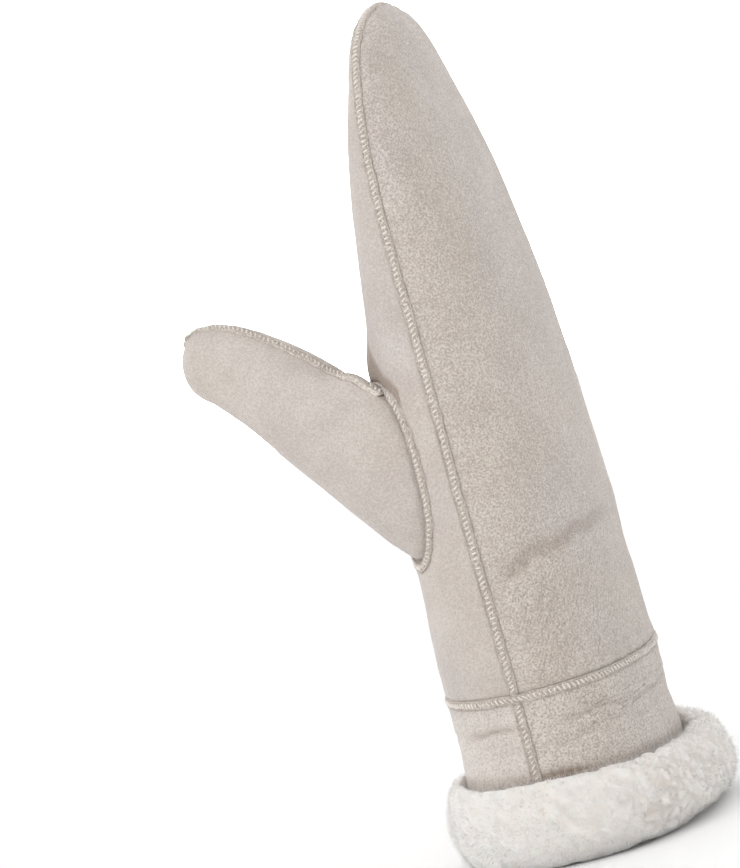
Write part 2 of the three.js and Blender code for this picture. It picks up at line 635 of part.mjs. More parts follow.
// The turned wool cuff: a thick roll outside the band, a thinner lining inside it, and the pile under
// the band's edge, pressed flat where the mitten stands. Its profile goes once round that section.
function woolCuff() {
  const slot = CLEARANCE; // between the wool and the band
  const inner = -HIDE - LINING_DEPTH;
  const rows = 9;
  const profile = [];
  for (let k = 0; k <= rows; k++) {
    const bend = THREE.MathUtils.lerp(Math.PI / 2, -Math.PI / 2, k / rows);
    profile.push({ bend, lock: k });
  }
  profile.push({ out: -0.6 * LINING_DEPTH, height: 0 });
  profile.push({ out: inner + 1, height: 0.07 * WOOL_HEIGHT });
  profile.push({ out: inner, height: 0.35 * WOOL_HEIGHT });
  profile.push({ out: inner, height: 0.75 * WOOL_HEIGHT });
  profile.push({ out: inner + 0.3 * LINING_DEPTH, height: 0.98 * WOOL_HEIGHT });
  profile.push({ out: -HIDE - slot, height: 0.98 * WOOL_HEIGHT });
  profile.push({ out: -HIDE - slot, height: 0.5 * WOOL_HEIGHT });
  profile.push({ out: -HIDE - slot, height: BAND_EDGE - slot });
  profile.push({ out: slot, height: BAND_EDGE - slot });
  profile.push({ out: slot, height: 0.5 * WOOL_HEIGHT });

  // The roll is rounder on the palm, where the cuff is pressed flat, and squarer on the back.
  const rolled = (bend, back) => {
    const squareness = 2.1 + (bend > 0 ? 0.4 : 0.3) * back;
    return {
      out: WOOL_DEPTH * Math.max(rounded(Math.cos(bend), 2.5), bend < 0 ? 0.35 : slot / WOOL_DEPTH),
      height: WOOL_HEIGHT * (0.5 + 0.5 * rounded(Math.sin(bend), squareness)),
    };
  };

  const points = [];
  for (let i = 0; i < WOOL_COLUMNS; i++) {
    const angle = (TURN * i) / WOOL_COLUMNS;
    const back = Math.sin(angle);
    const fullness = 1 + BACK_FULLNESS * back;
    const lower = 1 - (WOOL_DIP / WOOL_HEIGHT) * Math.max(back, 0) ** 2;
    for (const { bend, lock, ...fixed } of profile) {
      const { out, height: full } = bend === undefined ? fixed : rolled(bend, back);
      const height = full > BAND_EDGE ? THREE.MathUtils.lerp(BAND_EDGE, full, lower) : full;
      const onBand = bandSkin(Math.max(height, 1), angle);
      const middle = new THREE.Vector3(0, 0, height);
      const normal = outward(bandSkin, Math.max(height, 1), angle, middle).setZ(0).normalize();
      const turned = lock !== undefined && lock > 0;
      const relief = turned && height > 0 ? lockRelief(i, lock) : 0;
      const away = turned ? out * fullness + relief : out;
      const rise = turned && height > 0 && lock < rows ? 0.5 * relief : 0;
      onBand.addScaledVector(normal, away);
      points.push(onBand.setZ(Math.max(height + rise, 0)));
    }
  }
  const count = profile.length;
  const faces = [];
  for (let i = 0; i < WOOL_COLUMNS; i++) {
    const next = (i + 1) % WOOL_COLUMNS;
    for (let k = 0; k < count; k++) {
      const after = (k + 1) % count;
      faces.push([i * count + k, i * count + after, next * count + after, next * count + k]);
    }
  }
  return closedGeometry(points, faces);
}

const suede = new THREE.MeshStandardMaterial({ color: 0xc9c0b8, roughness: 0.95, metalness: 0 });
const thread = new THREE.MeshStandardMaterial({ color: 0xddd6cc, roughness: 0.9, metalness: 0 });
const wool = new THREE.MeshStandardMaterial({ color: 0xece8e2, roughness: 1, metalness: 0 });

function piece(name, geometry, material) {
  const mesh = new THREE.Mesh(geometry, material);
  mesh.name = name;
  return mesh;
}

const mitten = new THREE.Group();
mitten.name = "mitten";
mitten.add(
  piece("back_panel", backPanel(), suede),
  piece("palm_panel", palmPanel(), suede),
  piece("thumb", thumbPiece(), suede),
  piece("back_band", bandPanel(1), suede),
  piece("palm_band", bandPanel(-1), suede),
  piece("side_seam", sideSeam(), thread),
  piece("hem_seam", hemSeam(), thread),
  piece("thumb_edge_band_seam", bandSeam(0), thread),
  piece("outer_edge_band_seam", bandSeam(1), thread),
  piece("thumb_root_seam", rootSeam(), thread),
  piece("thumb_seam", thumbSeam(), thread),
  piece("wool_cuff", woolCuff(), wool),
);

// The origin lies under the middle of the whole mitten, on the surface that it stands on.
const box = new THREE.Box3().setFromObject(mitten);
mitten.position.set(-(box.min.x + box.max.x) / 2, -(box.min.y + box.max.y) / 2, 0);

export default mitten;
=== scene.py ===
# %% [markdown]
# A shearling mitten
#
# The mitten is sheepskin: suede outside, wool inside, and a cuff where the skin is turned over so
# that its wool shows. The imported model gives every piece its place. This script gives the suede its
# wrinkles and nap, sews the seams stitch by stitch, and grows the wool.

import math

import bpy
import numpy as np
from mathutils import Matrix, Vector, noise
from mathutils.kdtree import KDTree


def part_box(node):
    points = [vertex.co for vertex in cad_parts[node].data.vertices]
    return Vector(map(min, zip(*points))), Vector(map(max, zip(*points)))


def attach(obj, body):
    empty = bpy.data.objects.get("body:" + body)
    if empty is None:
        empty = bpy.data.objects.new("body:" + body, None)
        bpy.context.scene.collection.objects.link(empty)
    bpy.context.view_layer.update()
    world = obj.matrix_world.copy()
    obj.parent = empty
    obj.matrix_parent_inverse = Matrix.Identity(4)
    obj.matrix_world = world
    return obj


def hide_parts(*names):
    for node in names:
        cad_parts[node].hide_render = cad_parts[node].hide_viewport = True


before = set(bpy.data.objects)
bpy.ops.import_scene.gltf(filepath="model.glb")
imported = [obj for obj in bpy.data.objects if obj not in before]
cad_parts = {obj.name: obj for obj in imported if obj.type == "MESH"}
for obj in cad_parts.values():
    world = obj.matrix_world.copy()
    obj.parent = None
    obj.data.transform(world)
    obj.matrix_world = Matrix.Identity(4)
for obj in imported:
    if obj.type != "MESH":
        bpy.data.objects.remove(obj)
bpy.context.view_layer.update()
scene = bpy.context.scene
rng = np.random.default_rng(11)
MM = 0.001
STITCH_STEP = 1.75 * MM
THREAD = 0.38 * MM  # radius
OVER = 1.12 * MM  # from the ridge's middle to where the thread goes in
PRESSED = 0.4 * MM  # how far the thread pulls a ridge down
FILL = 0.42 * MM  # how far the raw edges swell into the gap beside them
print("pieces in the packed model:", sorted(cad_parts))

# %% [markdown]
# Most of what follows needs the same few facts: where the middle of the hand is, how high the hem
# lies and how high the turned wool reaches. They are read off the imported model, so the looks follow
# the model when a size in it changes.

# %% Read the main places
band_low, band_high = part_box("back_band")
palm_low, palm_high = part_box("palm_band")
AXIS_X = (band_high.x + palm_low.x) / 2
HALF_DEPTH = (band_high.x - palm_low.x) / 2
hand_low, hand_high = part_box("back_panel")
HALF_WIDTH = (hand_high.y - hand_low.y) / 2
hem_low, hem_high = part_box("hem_seam")
HEM_Z = (hem_low.z + hem_high.z) / 2
TIP_Z = hand_high.z
WOOL_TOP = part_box("wool_cuff")[1].z
print(f"axis x {AXIS_X:.4f}, hem {HEM_Z:.4f}, wool top {WOOL_TOP:.4f}, tip {TIP_Z:.4f}")

# %% [markdown]
# A piece of hide starts as a copy of its solid. The copy is loose triangles, so its doubles are
# merged and its triangles are paired into four-sided faces, which smooth evenly when they are
# subdivided. The sheet's cut edges are creased, or they would round off into a pillow.


# %% Copy a solid and smooth it
def only(piece):
    """Selects one piece and nothing else."""
    if bpy.context.object and bpy.context.object.mode != "OBJECT":
        bpy.ops.object.mode_set(mode="OBJECT")
    bpy.ops.object.select_all(action="DESELECT")
    piece.select_set(True)
    bpy.context.view_layer.objects.active = piece


def working_copy(node, name):
    """A copy of a solid as one skin of mostly four-sided faces."""
    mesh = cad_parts[node].data.copy()
    piece = bpy.data.objects.new(name, mesh)
    mesh.name = name
    scene.collection.objects.link(piece)
    only(piece)
    bpy.ops.mesh.customdata_custom_splitnormals_clear()
    bpy.ops.object.mode_set(mode="EDIT")
    bpy.ops.mesh.select_all(action="SELECT")
    bpy.ops.mesh.remove_doubles(threshold=2e-6)
    bpy.ops.mesh.tris_convert_to_quads(face_threshold=math.radians(50), shape_threshold=math.radians(70))
    bpy.ops.object.mode_set(mode="OBJECT")
    mesh.materials.clear()
    return piece


def crease_cut_edges(piece, sharper_than=50, amount=0.7):
    """Keeps the cut edges of a sheet from rounding off."""
    only(piece)
    bpy.ops.object.mode_set(mode="EDIT")
    bpy.ops.mesh.select_all(action="DESELECT")
    bpy.ops.mesh.select_mode(type="EDGE")
    bpy.ops.mesh.edges_select_sharp(sharpness=math.radians(sharper_than))
    bpy.ops.transform.edge_crease(value=amount)
    bpy.ops.mesh.select_mode(type="VERT")
    bpy.ops.object.mode_set(mode="OBJECT")


def smooth(piece, levels):
    """Subdivides a piece, for good."""
    only(piece)
    modifier = piece.modifiers.new("smooth", "SUBSURF")
    modifier.levels = modifier.render_levels = levels
    bpy.ops.object.modifier_apply(modifier="smooth")
    bpy.ops.object.shade_smooth()


print(len(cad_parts), "solids to copy")

# %% [markdown]
# The rest of the shaping moves vertices in code, as a sculptor's brush would. These helpers read and
# write all the vertices of a piece at once, and keep a number on each for the materials to read.


# %% Read and write vertices
def places(piece):
    """The vertices of a piece and their normals, as arrays."""
    count = len(piece.data.vertices)
    points = np.empty(count * 3)
    normals = np.empty(count * 3)
    piece.data.vertices.foreach_get("co", points)
    piece.data.vertex_normals.foreach_get("vector", normals)
    return points.reshape(-1, 3), normals.reshape(-1, 3)


def place(piece, points):
    """Moves the vertices of a piece."""
    piece.data.vertices.foreach_set("co", points.ravel())
    piece.data.update()


def note(piece, name, values):
    """Keeps one number for each vertex, for the materials to read."""
    attribute = piece.data.attributes.new(name, "FLOAT", "POINT")
    attribute.data.foreach_set("value", values.astype(np.float32))


# %% [markdown]
# The noise is a smooth random field: it gives the same number at the same place on every run. A slow
# wander moves the seams and the hide beside them together, as sewing by hand does, and in the crotch of
# the thumb the hide bunches up. Both bend the space that the pieces stand in, so nothing comes apart.


# %% Make smooth fields
WANDER = 0.22 * MM
WANDER_SIZE = 8 * MM
WANDER_SEEDS = (41, 42, 43)
root_low, root_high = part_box("thumb_root_seam")
CROTCH = np.array([root_low.x + 6 * MM, -0.68 * HALF_WIDTH, root_high.z + 3 * MM])
CROTCH_SPREAD = 11 * MM
CROTCH_PUSH = np.array([-2.7, 0, 1.2]) * MM


def field(points, size, seed=0):
    """A smooth random number from about -1 to 1 at each point, with features of one size."""
    shift = Vector((seed * 7.31, seed * 3.17, seed * 5.77))
    return np.array([noise.noise(Vector(p) / size + shift) for p in points])


def fields(points, size, seeds):
    """Three such numbers at each point, as a direction."""
    return np.stack([field(points, size, seed) for seed in seeds], axis=1)


def wobble(points):
    """How far the wander moves each point."""
    return fields(points, WANDER_SIZE, WANDER_SEEDS) * WANDER


def gather(points):
    """The points, bunched up in the crotch of the thumb."""
    share = np.exp(-(((points - CROTCH) / CROTCH_SPREAD) ** 2).sum(axis=1))
    return points + share[:, None] * CROTCH_PUSH


def fade(values, start, end):
    """0 before start, 1 after end, and smooth between."""
    share = np.clip((values - start) / (end - start), 0, 1)
    return share * share * (3 - 2 * share)


print("the thumb's crotch lies at", CROTCH.round(4).tolist())

# %% [markdown]
# Suede wrinkles where it is bent and where it is sewn. The long crease at the wrist, the fan of fine
# lines under it and the lines on the band are read off the photo. Each is a path of angles round the
# hand, from the thumb edge with the back of the hand positive, and of millimetres above the hem.

# %% List the wrinkles
WRINKLES = [
    # (width in mm, depth in mm, path of (degrees, mm above the hem))
    (
        3.1,
        1.1,
        [(8, 40.5), (15, 42), (22, 43.5), (30, 45.5), (42, 46.5), (57, 49), (83, 50), (120, 46.5)],
    ),
    (1.2, 0.3, [(34, 40), (48, 42.5), (62, 43), (78, 45.5)]),
    (1.2, 0.3, [(28, 49), (42, 51), (58, 54), (70, 54)]),
    (1.1, 0.3, [(27, 43), (22, 36), (20, 28)]),
    (1.1, 0.34, [(36, 43), (31, 34), (25, 24)]),
    (1.0, 0.3, [(46, 44), (39, 34), (34, 26), (31, 19)]),
    (1.0, 0.28, [(55, 43), (49, 35), (43, 26)]),
    (1.1, 0.25, [(66, 44), (58, 34), (53, 28)]),
    (1.0, 0.25, [(30, 24), (25, 16), (21, 10)]),
    (0.9, 0.22, [(42, 22), (36, 14), (33, 8)]),
    (0.9, 0.22, [(24, 32), (16, 24), (11, 18)]),
    (1.2, 0.25, [(60, 36), (80, 38), (100, 36)]),
    (1.3, 0.28, [(72, 18), (90, 20), (112, 18)]),
    (1.4, 0.55, [(13, -12.8), (30, -11), (45, -10), (70, -12.5), (98, -13), (130, -12)]),
    (1.1, 0.42, [(17, -18.5), (32, -17), (48, -15.5), (64, -16)]),
    (1.0, 0.4, [(44, -6), (62, -7), (82, -8.5), (100, -7.5)]),
    (1.0, 0.36, [(58, -19.5), (78, -19), (98, -20)]),
    (1.0, 0.25, [(30, -5.5), (38, -8), (50, -8.5)]),
    (1.3, 0.85, [(-40, -13.5), (-30, -11.5), (-18, -10.6), (-8, -11), (-2, -12.6)]),
    (1.1, 0.3, [(-66, -13.5), (-48, -11.5), (-34, -11.8)]),
    (1.1, 0.25, [(-24, -18.5), (-12, -17.4), (-5, -18)]),
    (1.5, 0.5, [(-75, 41), (-95, 44), (-125, 46), (-150, 44)]),
    (1.2, 0.3, [(-100, 36), (-120, 32), (-140, 34)]),
    (1.2, 0.35, [(-90, -11), (-120, -10), (-150, -12)]),
    (1.1, 0.3, [(150, -10), (168, -12), (180, -11)]),
    (1.1, 0.3, [(-100, -18), (-130, -17), (-155, -18)]),
    (1.2, 0.3, [(140, 36), (155, 40), (168, 38)]),
]
MM_PER_DEGREE = math.radians(1) * math.sqrt(HALF_DEPTH * HALF_WIDTH) / MM
print(len(WRINKLES), "wrinkles,", f"{MM_PER_DEGREE:.2f} mm to a degree round the hand")

# %% [markdown]
# A wrinkle could be carved with a brush, or come out of a cloth simulation, which is hard to aim. Here
# the hide is unrolled in numbers, and each vertex sinks by how near it lies to a wrinkle's path. The
# groove is a bell curve, deepest in the middle of the path, and the hide it pushes aside makes a lip.


# %% Press the wrinkles in
WANDER_OF_WRINKLES = 1.5  # mm
PATH_REACH = 8  # mm above and below a path
LIP = 0.45  # share of the groove's depth
SHALLOW_END = 0.15  # share of its depth that a wrinkle keeps at its ends


def unroll(points):
    """Degrees round the hand and heights in millimetres, as if the hide lay flat."""
    across = (points[:, 0] - AXIS_X) / HALF_DEPTH
    degrees = np.degrees(np.arctan2(across, -points[:, 1] / HALF_WIDTH))
    return degrees, points[:, 2] / MM


def wrinkle_depth(points):
    """How far the wrinkles press each point in, in millimetres. Their lips stand out a little."""
    degrees, heights = unroll(points)
    heights = heights - HEM_Z / MM + WANDER_OF_WRINKLES * field(points, 0.009, 3)
    total = np.zeros(len(points))
    for width, depth, path in WRINKLES:
        low = min(z for _, z in path) - PATH_REACH
        high = max(z for _, z in path) + PATH_REACH
        near = np.where((heights > low) & (heights < high))[0]
        best = np.full(len(near), 1e9)
        along = np.zeros(len(near))
        steps = len(path) - 1
        for i, ((a0, z0), (a1, z1)) in enumerate(zip(path, path[1:])):
            u = ((degrees[near] - a0 + 180) % 360 - 180) * MM_PER_DEGREE
            v = heights[near] - z0
            du, dv = (a1 - a0) * MM_PER_DEGREE, z1 - z0
            share = np.clip((u * du + v * dv) / (du * du + dv * dv), 0, 1)
            gap = np.hypot(u - share * du, v - share * dv)
            closer = gap < best
            best = np.where(closer, gap, best)
            along = np.where(closer, (i + share) / steps, along)
        ends = fade(along, 0, 0.25) * (1 - fade(along, 0.75, 1))
        groove = np.exp(-((best / width) ** 2))
        lip = LIP * np.exp(-(((best - 2.2 * width) / (1.2 * width)) ** 2))
        total[near] += depth * (SHALLOW_END + (1 - SHALLOW_END) * ends) * (groove - lip)
    return total


print(f"the deepest wrinkle is {max(depth for _, depth, _ in WRINKLES)} mm deep")

# %% [markdown]
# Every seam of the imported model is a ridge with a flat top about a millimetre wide. The rungs across
# that top give the seam's path, and sorting them by who lies next to whom puts them in order. The stitches
# follow these paths, and so does what the hide does beside a seam.

# %% Find the path of each seam
SEAMS = [
    "side_seam",
    "hem_seam",
    "thumb_edge_band_seam",
    "outer_edge_band_seam",
    "thumb_root_seam",
    "thumb_seam",
]
RUNG_LENGTHS = (0.5, 1.25)  # mm, across the flat top of a ridge


def ridge_path(node):
    """Points along the top of a seam in order, with the direction across it and its normal."""
    piece = working_copy(node, "path_" + node)
    mesh = piece.data
    rungs = []
    for edge in mesh.edges:
        a, b = (mesh.vertices[i] for i in edge.vertices)
        length = (a.co - b.co).length / MM
        if RUNG_LENGTHS[0] < length < RUNG_LENGTHS[1]:
            rungs.append((length, (a.co + b.co) / 2, (b.co - a.co).normalized(), a.normal + b.normal))
    longest = max(rung[0] for rung in rungs)
    tops = [rung for rung in rungs if rung[0] > 0.97 * longest]
    bpy.data.objects.remove(piece)
    left = [(point, across, normal.normalized()) for _, point, across, normal in tops]
    start = max(range(len(left)), key=lambda i: end_score(node, left[i][0]))
    path = [left.pop(start)]
    while left:
        nearest = min(range(len(left)), key=lambda i: (left[i][0] - path[-1][0]).length)
        path.append(left.pop(nearest))
    return path


def end_score(node, point):
    """Picks an end of an open seam to start from: the lowest, or the nearest to the palm."""
    if node == "thumb_seam":
        return point.x
    return -point.z - 0.1 * point.y


paths = {node: ridge_path(node) for node in SEAMS}
for node, path in paths.items():
    print(node, len(path), "points on its ridge")

# %% [markdown]
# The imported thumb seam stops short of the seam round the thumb's root, where its solid would cut into
# the other. On the real mitten the two ridges run together, so the end is drawn out to meet it. The
# top of the thumb stands up beside its root, and the lift there moves hide and seam alike.


# %% Let the thumb's seam reach the root seam
DRAWN_SPREAD = 6 * MM
LIFT_SPREAD = 8 * MM
LIFT = np.array([0, -0.3, 3.4]) * MM
SEARCH_AHEAD = 11 * MM
thumb_path = paths["thumb_seam"]
SEAM_END = thumb_path[0][0]
ahead = SEAM_END + (SEAM_END - thumb_path[2][0]).normalized() * SEARCH_AHEAD
ROOT_SPOT = min((entry[0] for entry in paths["thumb_root_seam"]), key=lambda spot: (spot - ahead).length)


def near_seam_end(points, size):
    """1 at the root end of the thumb's seam, fading out over a distance."""
    return np.exp(-(((points - np.array(SEAM_END)) / size) ** 2).sum(axis=1))[:, None]


def drawn_out(points):
    """The points, with the seam's end moved to the root seam."""
    return points + near_seam_end(points, DRAWN_SPREAD) * np.array(ROOT_SPOT - SEAM_END)


def lifted(points):
    """The points, raised beside the thumb's root."""
    return points + near_seam_end(points, LIFT_SPREAD) * LIFT


moved = lifted(drawn_out(np.array([entry[0] for entry in thumb_path])))
paths["thumb_seam"] = [(Vector(spot), *entry[1:]) for spot, entry in zip(moved, thumb_path)]
print(f"the thumb's seam is drawn out by {(ROOT_SPOT - SEAM_END).length / MM:.1f} mm")

# %% [markdown]
# A path has a point every few millimetres, and a stitch every 1.75. Straight lines between the points
# would show as corners, so a place between two points is taken from the smooth curve that subdivision
# gives the ridge itself.


# %% Spread even steps along a path
def smooth_point(before, a, b, after, share):
    """A place between a and b, on the curve that subdividing the ridge smooths it to."""
    rest = 1 - share
    first = 3 * share**3 - 6 * share**2 + 4
    second = 3 * rest**3 - 6 * rest**2 + 4
    return (before * rest**3 + a * first + b * second + after * share**3) / 6


def resample(path, closed, step):
    """Evenly spaced points along a path, each with its direction, across and normal."""
    points = [entry[0] for entry in path]
    normals = [entry[2] for entry in path]
    if closed:
        points = points + points[:1]
        normals = normals + normals[:1]
    lengths = [0.0]
    for a, b in zip(points, points[1:]):
        lengths.append(lengths[-1] + (b - a).length)
    total = lengths[-1]
    count = max(round(total / step), 2)
    last = len(points) - 1
    spread = []
    i = 0
    for k in range(count):
        distance = total * (k + 0.5) / count
        while i < last - 1 and lengths[i + 1] < distance:
            i += 1
        share = (distance - lengths[i]) / (lengths[i + 1] - lengths[i])
        before = points[i - 1] if i > 0 else (points[-2] if closed else points[0])
        after = points[i + 2] if i + 2 <= last else (points[1] if closed else points[last])
        a, b = points[i], points[i + 1]
        point = smooth_point(before, a, b, after, share)
        along = ((b - before).lerp(after - a, share)).normalized()
        normal = normals[i].lerp(normals[i + 1], share).normalized()
        across = along.cross(normal).normalized()
        spread.append((point, along, across, across.cross(along).normalized()))
    return spread


CLOSED = {"hem_seam", "thumb_root_seam"}
lines = {node: resample(path, node in CLOSED, 1.0 * MM) for node, path in paths.items()}
print("seams to sew:", {node: f"{len(line)} mm" for node, line in lines.items()})

# %% [markdown]
# Where hide is sewn it draws up into small puckers along the seam, and rolls under at its edge. How far
# a vertex lies from the nearest seam comes from a tree of the seams' own steps, one to a millimetre, so
# one helper serves them all.

# %% Measure how far the seams are
seam_tree = KDTree(sum(len(line) for line in lines.values()))
seam_steps = []
for node, line in lines.items():
    for step, (point, along, across, normal) in enumerate(line):
        seam_tree.insert(point, len(seam_steps))
        seam_steps.append((node, step))
seam_tree.balance()
print(len(seam_steps), "steps in the tree")


def seam_distance(points):
    """For each point: millimetres to the nearest seam, millimetres along it, and which seam it is."""
    gaps, runs, names = np.empty(len(points)), np.empty(len(points)), []
    for i, p in enumerate(points):
        _, index, distance = seam_tree.find(p)
        name, step = seam_steps[index]
        point, along, _, _ = lines[name][step]
        gaps[i] = distance / MM
        runs[i] = step + along.dot(Vector(p) - point) / MM
        names.append(name)
    return gaps, runs, np.array(names)


# %% [markdown]
# The suede needs to know more than its place. It is a little yellower in a band along the back, it is
# finely wrinkled under the wrist crease and along the band, and the thread's holes beside a seam get
# painted shade, most on one side of it.


# %% Say where the hide differs
def outward_share(points, normals, middle):
    """1 where a face looks away from the middle of the piece and 0 where it looks inwards."""
    away = points - middle
    away /= np.maximum(np.linalg.norm(away, axis=1, keepdims=True), 1e-9)
    return fade((away * normals).sum(axis=1), 0.0, 0.35)


HOLES = {
    # (piece, seam): how much painted shade the needle holes get, and how far the hide rolls under there
    ("back_panel", "side_seam"): 1.0,
    ("back_panel", "hem_seam"): 1.0,
    ("palm_panel", "hem_seam"): 0.8,
    ("palm_panel", "thumb_root_seam"): 1.0,
    ("palm_panel", "side_seam"): 0.25,
    ("thumb", "thumb_root_seam"): 0.45,
    ("thumb", "thumb_seam"): 0.6,
    ("back_band", "thumb_edge_band_seam"): 1.0,
    ("palm_band", "thumb_edge_band_seam"): 0.7,
    ("back_band", "outer_edge_band_seam"): 1.0,
}
FAINT_HOLES = 0.15
WARM_BAND = 28  # degrees from the thumb edge


def warm_share(points, degrees):
    """How yellow the hide is."""
    band = np.exp(-(((degrees - WARM_BAND) / 20) ** 2)) * (points[:, 0] > AXIS_X)
    return np.clip(0.3 + 0.55 * band + 0.55 * field(points, 0.035, 12), 0, 1)


def creased_share(degrees, heights):
    """How finely wrinkled the hide is: most under the wrist crease, and along the middle of the band."""
    above = heights - HEM_Z / MM
    wrist = fade(above, 0, 8) * (1 - fade(above, 34, 52)) * fade(degrees, 6, 18)
    wrist *= 1 - 0.6 * fade(degrees, 70, 120)
    band = np.exp(-(((above + 11) / 7) ** 2)) * fade(degrees, 20, 45)
    return np.clip(np.where(above > 0, wrist, band), 0, 1)


print(len(HOLES), "sides of seams have dark holes")

# %% [markdown]
# One function shapes every piece of hide. The wrinkles and puckers move only the outer face, by the
# share that its normal faces out of the hand, so the inside stays smooth. Slow swells keep the big
# surfaces from looking machined, and fade where the hide goes under the wool. What it worked out is
# kept on the vertices for the suede.


# %% Shape a piece of hide
HAND_SWELL = 0.55  # mm
THUMB_SWELL = 0.2  # mm
PUCKER = 0.3  # mm
PUCKER_LENGTH = 7.5  # mm from one to the next
GRAIN = 0.09  # mm


def shape_hide(piece, middle, wrinkled=True):
    """Moves the vertices of a piece of hide, and keeps what the suede needs to know of them."""
    points, normals = places(piece)
    if piece.name.startswith("thumb"):
        points = lifted(points)
    outer = outward_share(points, normals, middle(points))
    gaps, runs, names = seam_distance(points)
    pressed = wrinkle_depth(points) if wrinkled else np.zeros(len(points))
    swell = (HAND_SWELL if wrinkled else THUMB_SWELL) * field(points, 0.045, 1)
    swell += 0.25 * field(points, 0.016, 2)
    grain = GRAIN * field(points, 0.004, 4)
    pucker = PUCKER * np.sin(runs * math.tau / PUCKER_LENGTH + 2.2 * field(points, 0.02, 5))
    pucker *= np.exp(-((gaps / 5.5) ** 2)) * fade(gaps, 1.0, 2.6)
    label = piece.name.removesuffix("_suede")
    # holes: how much painted shade the needle holes get, and how far the hide rolls under beside them
    holes = np.array([HOLES.get((label, name), FAINT_HOLES) for name in names])
    rolled = (0.8 * holes - 0.3) * np.exp(-(((gaps - 1.2) / 1.0) ** 2))
    near_wool = 1 - fade(points[:, 2], WOOL_TOP - 3 * MM, WOOL_TOP + 4 * MM)
    lift = (swell * fade(gaps, 1, 8) + pucker - pressed) * (1 - near_wool) + grain - rolled
    wander = wobble(points) * np.exp(-((gaps / 5) ** 2))[:, None]
    place(piece, gather(points + wander + normals * (outer * lift * MM)[:, None]))
    degrees, heights = unroll(points)
    note(piece, "outer", outer)
    note(piece, "pressed", pressed)
    note(piece, "seam_gap", gaps)
    note(piece, "seam_run", runs)
    note(piece, "holes", holes)
    note(piece, "flat_u", degrees * MM_PER_DEGREE)
    note(piece, "flat_v", heights)
    note(piece, "creased", creased_share(degrees, heights) if wrinkled else np.zeros(len(points)))
    note(piece, "warm", warm_share(points, degrees))


# %% [markdown]
# The two panels and the two halves of the band are shaped round the middle of the hand, which is a
# line level with each vertex that ends a little below the fingertip.


# %% Shape the panels and the band
def hand_middle(points):
    """The line up the middle of the hand, level with each point."""
    middle = points.copy()
    middle[:, 0] = AXIS_X
    middle[:, 1] *= 0.4
    middle[:, 2] = np.minimum(points[:, 2], TIP_Z - 14 * MM)
    return middle


def hide(node):
    """The copy of one piece of hide, creased at its cut edges and subdivided."""
    piece = working_copy(node, node + "_suede")
    crease_cut_edges(piece)
    smooth(piece, 3)
    return piece


back = hide("back_panel")
palm = hide("palm_panel")
back_band = hide("back_band")
palm_band = hide("palm_band")
for piece in (back, palm, back_band, palm_band):
    shape_hide(piece, hand_middle)
    print(piece.name, len(piece.data.polygons), "faces")

# %% [markdown]
# The thumb has its own middle line, from its root in the palm to its tip. It is one piece of hide
# folded along its lower edge, so it has a seam only on top.

# %% Shape the thumb
thumb_low, thumb_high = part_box("thumb")
# The two ends of the middle line, measured in from the thumb's own box.
THUMB_ROOT = Vector((thumb_high.x - 14 * MM, -0.75 * HALF_WIDTH, thumb_low.z + 31 * MM))
THUMB_END = Vector((thumb_low.x + 12 * MM, thumb_low.y + 21 * MM, thumb_high.z - 13 * MM))


def thumb_middle(points):
    """The nearest place to each point on the thumb's middle line."""
    along = np.array(THUMB_END - THUMB_ROOT)
    share = ((points - np.array(THUMB_ROOT)) @ along) / (along @ along)
    return np.array(THUMB_ROOT) + np.clip(share, 0, 1)[:, None] * along


thumb = hide("thumb")
shape_hide(thumb, thumb_middle, wrinkled=False)
print(thumb.name, len(thumb.data.polygons), "faces")

# %% [markdown]
# Just above the wool the suede is darker: painted shade where the roll shades it, and the dust that
# it rubs in. The nearest part of the roll is found for every vertex of the bands, and the painted
# shade is deepest in the pocket beside the thumb-edge seam. The palm's hide also folds in the crotch
# of the thumb, just above the root seam, and the fold gets as dark a painted shade.


# %% Shade the hide beside the wool
FOLD_START = (-50, 168)  # mm, a place on the fold's edge as y and z
FOLD_SLOPE = 0.72
FOLD_SHADE = 0.57


def shade_and_dust_by_wool(piece):
    """How much painted shade and dust the band gets beside the roll of wool."""
    points, _ = places(piece)
    degrees, _ = unroll(points)
    pocket = 0.3 + 0.6 * np.exp(-(((degrees - 17) / 12) ** 2)) + 0.3 * field(points, 0.01, 14)
    gaps = np.array([wool_tree.find(p)[2] for p in points]) / MM
    return np.clip(pocket, 0, 0.8) * (1 - fade(gaps, 0.5, 3.6)) ** 1.5


def fold_painted_shade(piece):
    """How much painted shade the palm gets in its fold, which runs slantwise up from the root seam."""
    points, _ = places(piece)
    x, y, z = points.T / MM
    edge_of_fold = FOLD_START[0] + FOLD_SLOPE * (z - FOLD_START[1])
    beyond = fade(y - edge_of_fold, -0.8, 1.2) * (1 - fade(y, -28, -20)) * (x < 8)
    return FOLD_SHADE * beyond * fade(z, 160, 164) * (1 - fade(z, 186, 194)) * ("palm" in piece.name)


wool_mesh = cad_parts["wool_cuff"].data
wool_tree = KDTree(len(wool_mesh.vertices))
for vertex in wool_mesh.vertices:
    wool_tree.insert(vertex.co, vertex.index)
wool_tree.balance()
for piece in (back, palm, back_band, palm_band, thumb):
    on_band = "band" in piece.name
    note(piece, "painted_shade_and_dust", shade_and_dust_by_wool(piece) if on_band else fold_painted_shade(piece))
print(len(wool_mesh.vertices), "places on the wool looked at")

# %% [markdown]
# All the finishes of the mitten are rough and fibrous, so they start from one shader with a sheen and
# hardly any gloss. The helpers below add one node each, which keeps a recipe of twenty nodes readable.


# %% Start a material
def new_material(name, roughness, sheen):
    """A rough, fibrous finish."""
    material = bpy.data.materials.new(name)
    material.use_nodes = True
    shader = material.node_tree.nodes["Principled BSDF"]
    shader.inputs["Roughness"].default_value = roughness
    shader.inputs["Sheen Weight"].default_value = sheen
    shader.inputs["Sheen Roughness"].default_value = 0.5
    shader.inputs["Specular IOR Level"].default_value = 0.15
    return material


